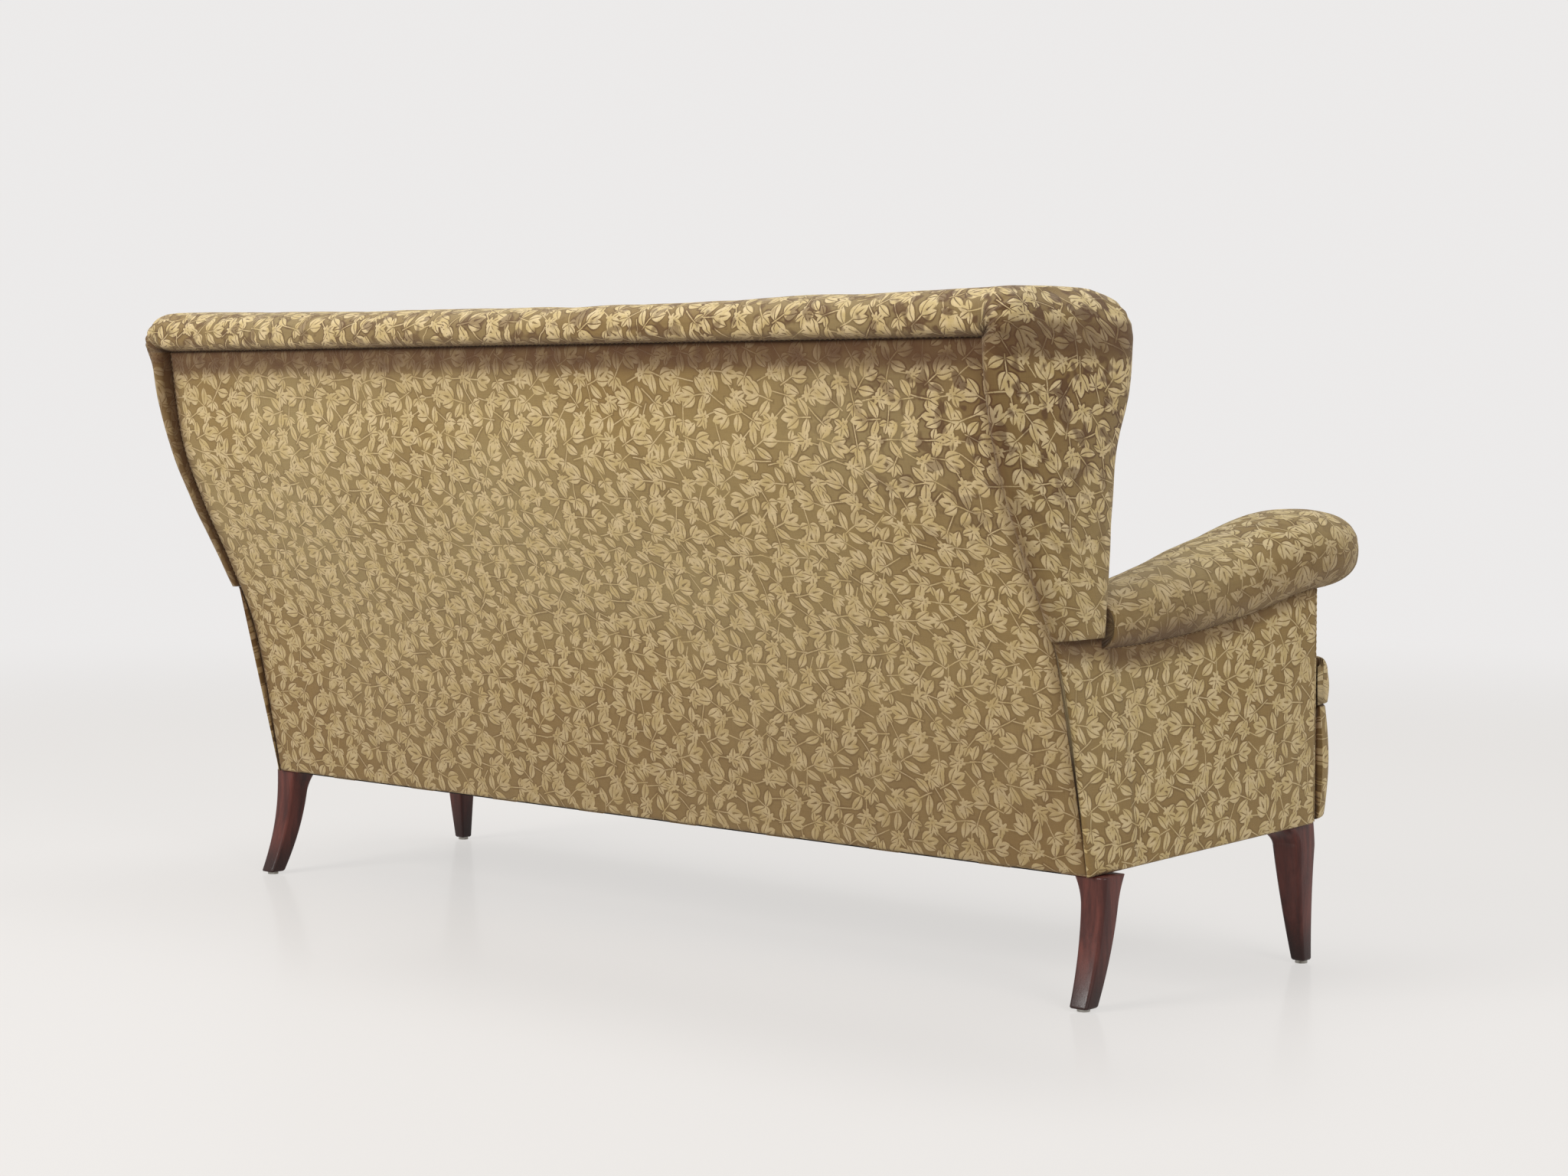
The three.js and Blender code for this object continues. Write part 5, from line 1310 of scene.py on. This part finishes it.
def make_stitches():
    edge_x = BACK_HALF + HAIR
    side = [(edge_x, back_y(z) - STITCH_SUNK, z) for z in steps(HEM_Z + STITCH_START, SEAM_Z, 60)]
    top = [(x, back_y(SEAM_Z) - STITCH_SUNK, SEAM_Z) for x in steps(edge_x, -edge_x, 60)[1:-1]]
    lines = [side + top + [(-x, y, z) for x, y, z in reversed(side)]]
    for hand in (1, -1):
        run = steps(ARM_FRONT_Y + STITCH_START, ARM_ROLL_REAR_Y - STITCH_START, 40)
        lines.append([(hand * (arm_outer(y) + 0.0006), y, roll_under(arm_outer(y), y) - 0.0004) for y in run])
        top_z = roll_under(ARM_FRONT_OUTER, ARM_FRONT_Y)
        front = steps(rail_under(ARM_FRONT_Y) + STITCH_START, top_z - STITCH_START, 30)
        lines.append([(hand * (ARM_FRONT_OUTER - 0.0016), ARM_FRONT_Y - HAIR, z) for z in front])
    points, edges = [], []
    for line in lines:
        start = len(points)
        points += line
        edges += [(start + i, start + i + 1) for i in range(len(line) - 1)]
    look = (STITCH_PITCH, STITCH_SIZE, THREAD)
    small_parts("seam_stitches", parts_group(True), points, edges, *look, "cover_fabric")


def make_tacks():
    sheet = nodes["dust_cover"].data
    corners = [v.co for v in sheet.vertices]
    tree = BVHTree.FromPolygons(corners, [tuple(p.vertices) for p in sheet.polygons])
    outline = [corners[i].xy for i in convex_hull_2d([c.xy for c in corners])]
    middle = sum(outline, Vector((0, 0))) / len(outline)
    inset = [middle + (p - middle) * (1 - TACK_INSET / (p - middle).length) for p in outline]
    points = []
    for start, end in zip(inset, inset[1:] + inset[:1]):
        count = max(1, round((end - start).length / TACK_PITCH))
        for share in steps(0, 1, count)[:-1]:
            x, y = start.lerp(end, share)
            hit, *_ = tree.ray_cast(Vector((x, y, 0)), Vector((0, 0, 1)))
            if hit:
                points.append((x, y, hit.z))
    small_parts("dust_cover_tacks", parts_group(False), points, [], 0, TACK_SIZE, FINISHES["steel"], "steel")


STITCH_PITCH, STITCH_SIZE = 0.0085, (0.0009, 0.0009, 0.0046)
STITCH_SUNK, STITCH_START = 0.0030, 0.004
TACK_INSET, TACK_PITCH, TACK_SIZE = 0.018, 0.045, (0.0056, 0.0056, 0.0022)
GLIDE_TOP_Z = 0.0043
FOOT_BEVEL, FOOT_BEVEL_SHARE = 0.0024, 0.01
LEG_CURVE = {"rear": 2.0, "front": 1.7}
LEGS = {  # foot, top, sizes at both, the bracket's reach and height
    "rear": ((0.8045, HEM_Y + 0.0115), (0.801, HEM_Y - 0.029, REAR_LEG_TOP_Z), (0.028, 0.040), (0.010, 0.04)),
    "front": (
        (0.846, HEM_Y - 0.4435), (0.839, FRONT_LEG_TOP_Y, FRONT_LEG_TOP_Z), (0.021, 0.045), (0.026, 0.034),
    ),
}

WEAVE = weave_group()
GRAIN = grain_group()
CLOTH = cloth_material()
LEG_WOOD = leg_material()
THREAD = thread_material()
JUTE = (srgb(176, 150, 108), srgb(112, 88, 56))
FINISHES = {
    "cover_fabric": CLOTH,
    "leg_wood": LEG_WOOD,
    "frame_wood": frame_wood_material(),
    "hessian": strap_material("hessian", srgb(170, 142, 98), srgb(104, 82, 52), 0.0021),
    "webbing": strap_material("jute webbing", *JUTE, 0.0024, stripe=srgb(70, 52, 40)),
    "dust_cloth": strap_material("black cambric", srgb(44, 42, 42), srgb(24, 23, 24), 0.0009),
    "steel": steel_material(),
}
for node in nodes.values():
    for place in node.material_slots:
        place.material = FINISHES[place.material.name]

bpy.context.scene.view_settings.view_transform = "Standard"
make_camera()
make_lights()
make_world()
make_floor()
make_outside_back()
make_back_roll()
make_inside_back()
make_seat()
make_front_border()
for hand, side in HANDS:
    make_arm_roll(hand, side)
    make_outside_arm(hand, side)
    make_inside_arm(hand, side)
    make_facing(hand, side)
    for place in LEGS:
        make_leg(place, hand, side)
make_stitches()
make_tacks()
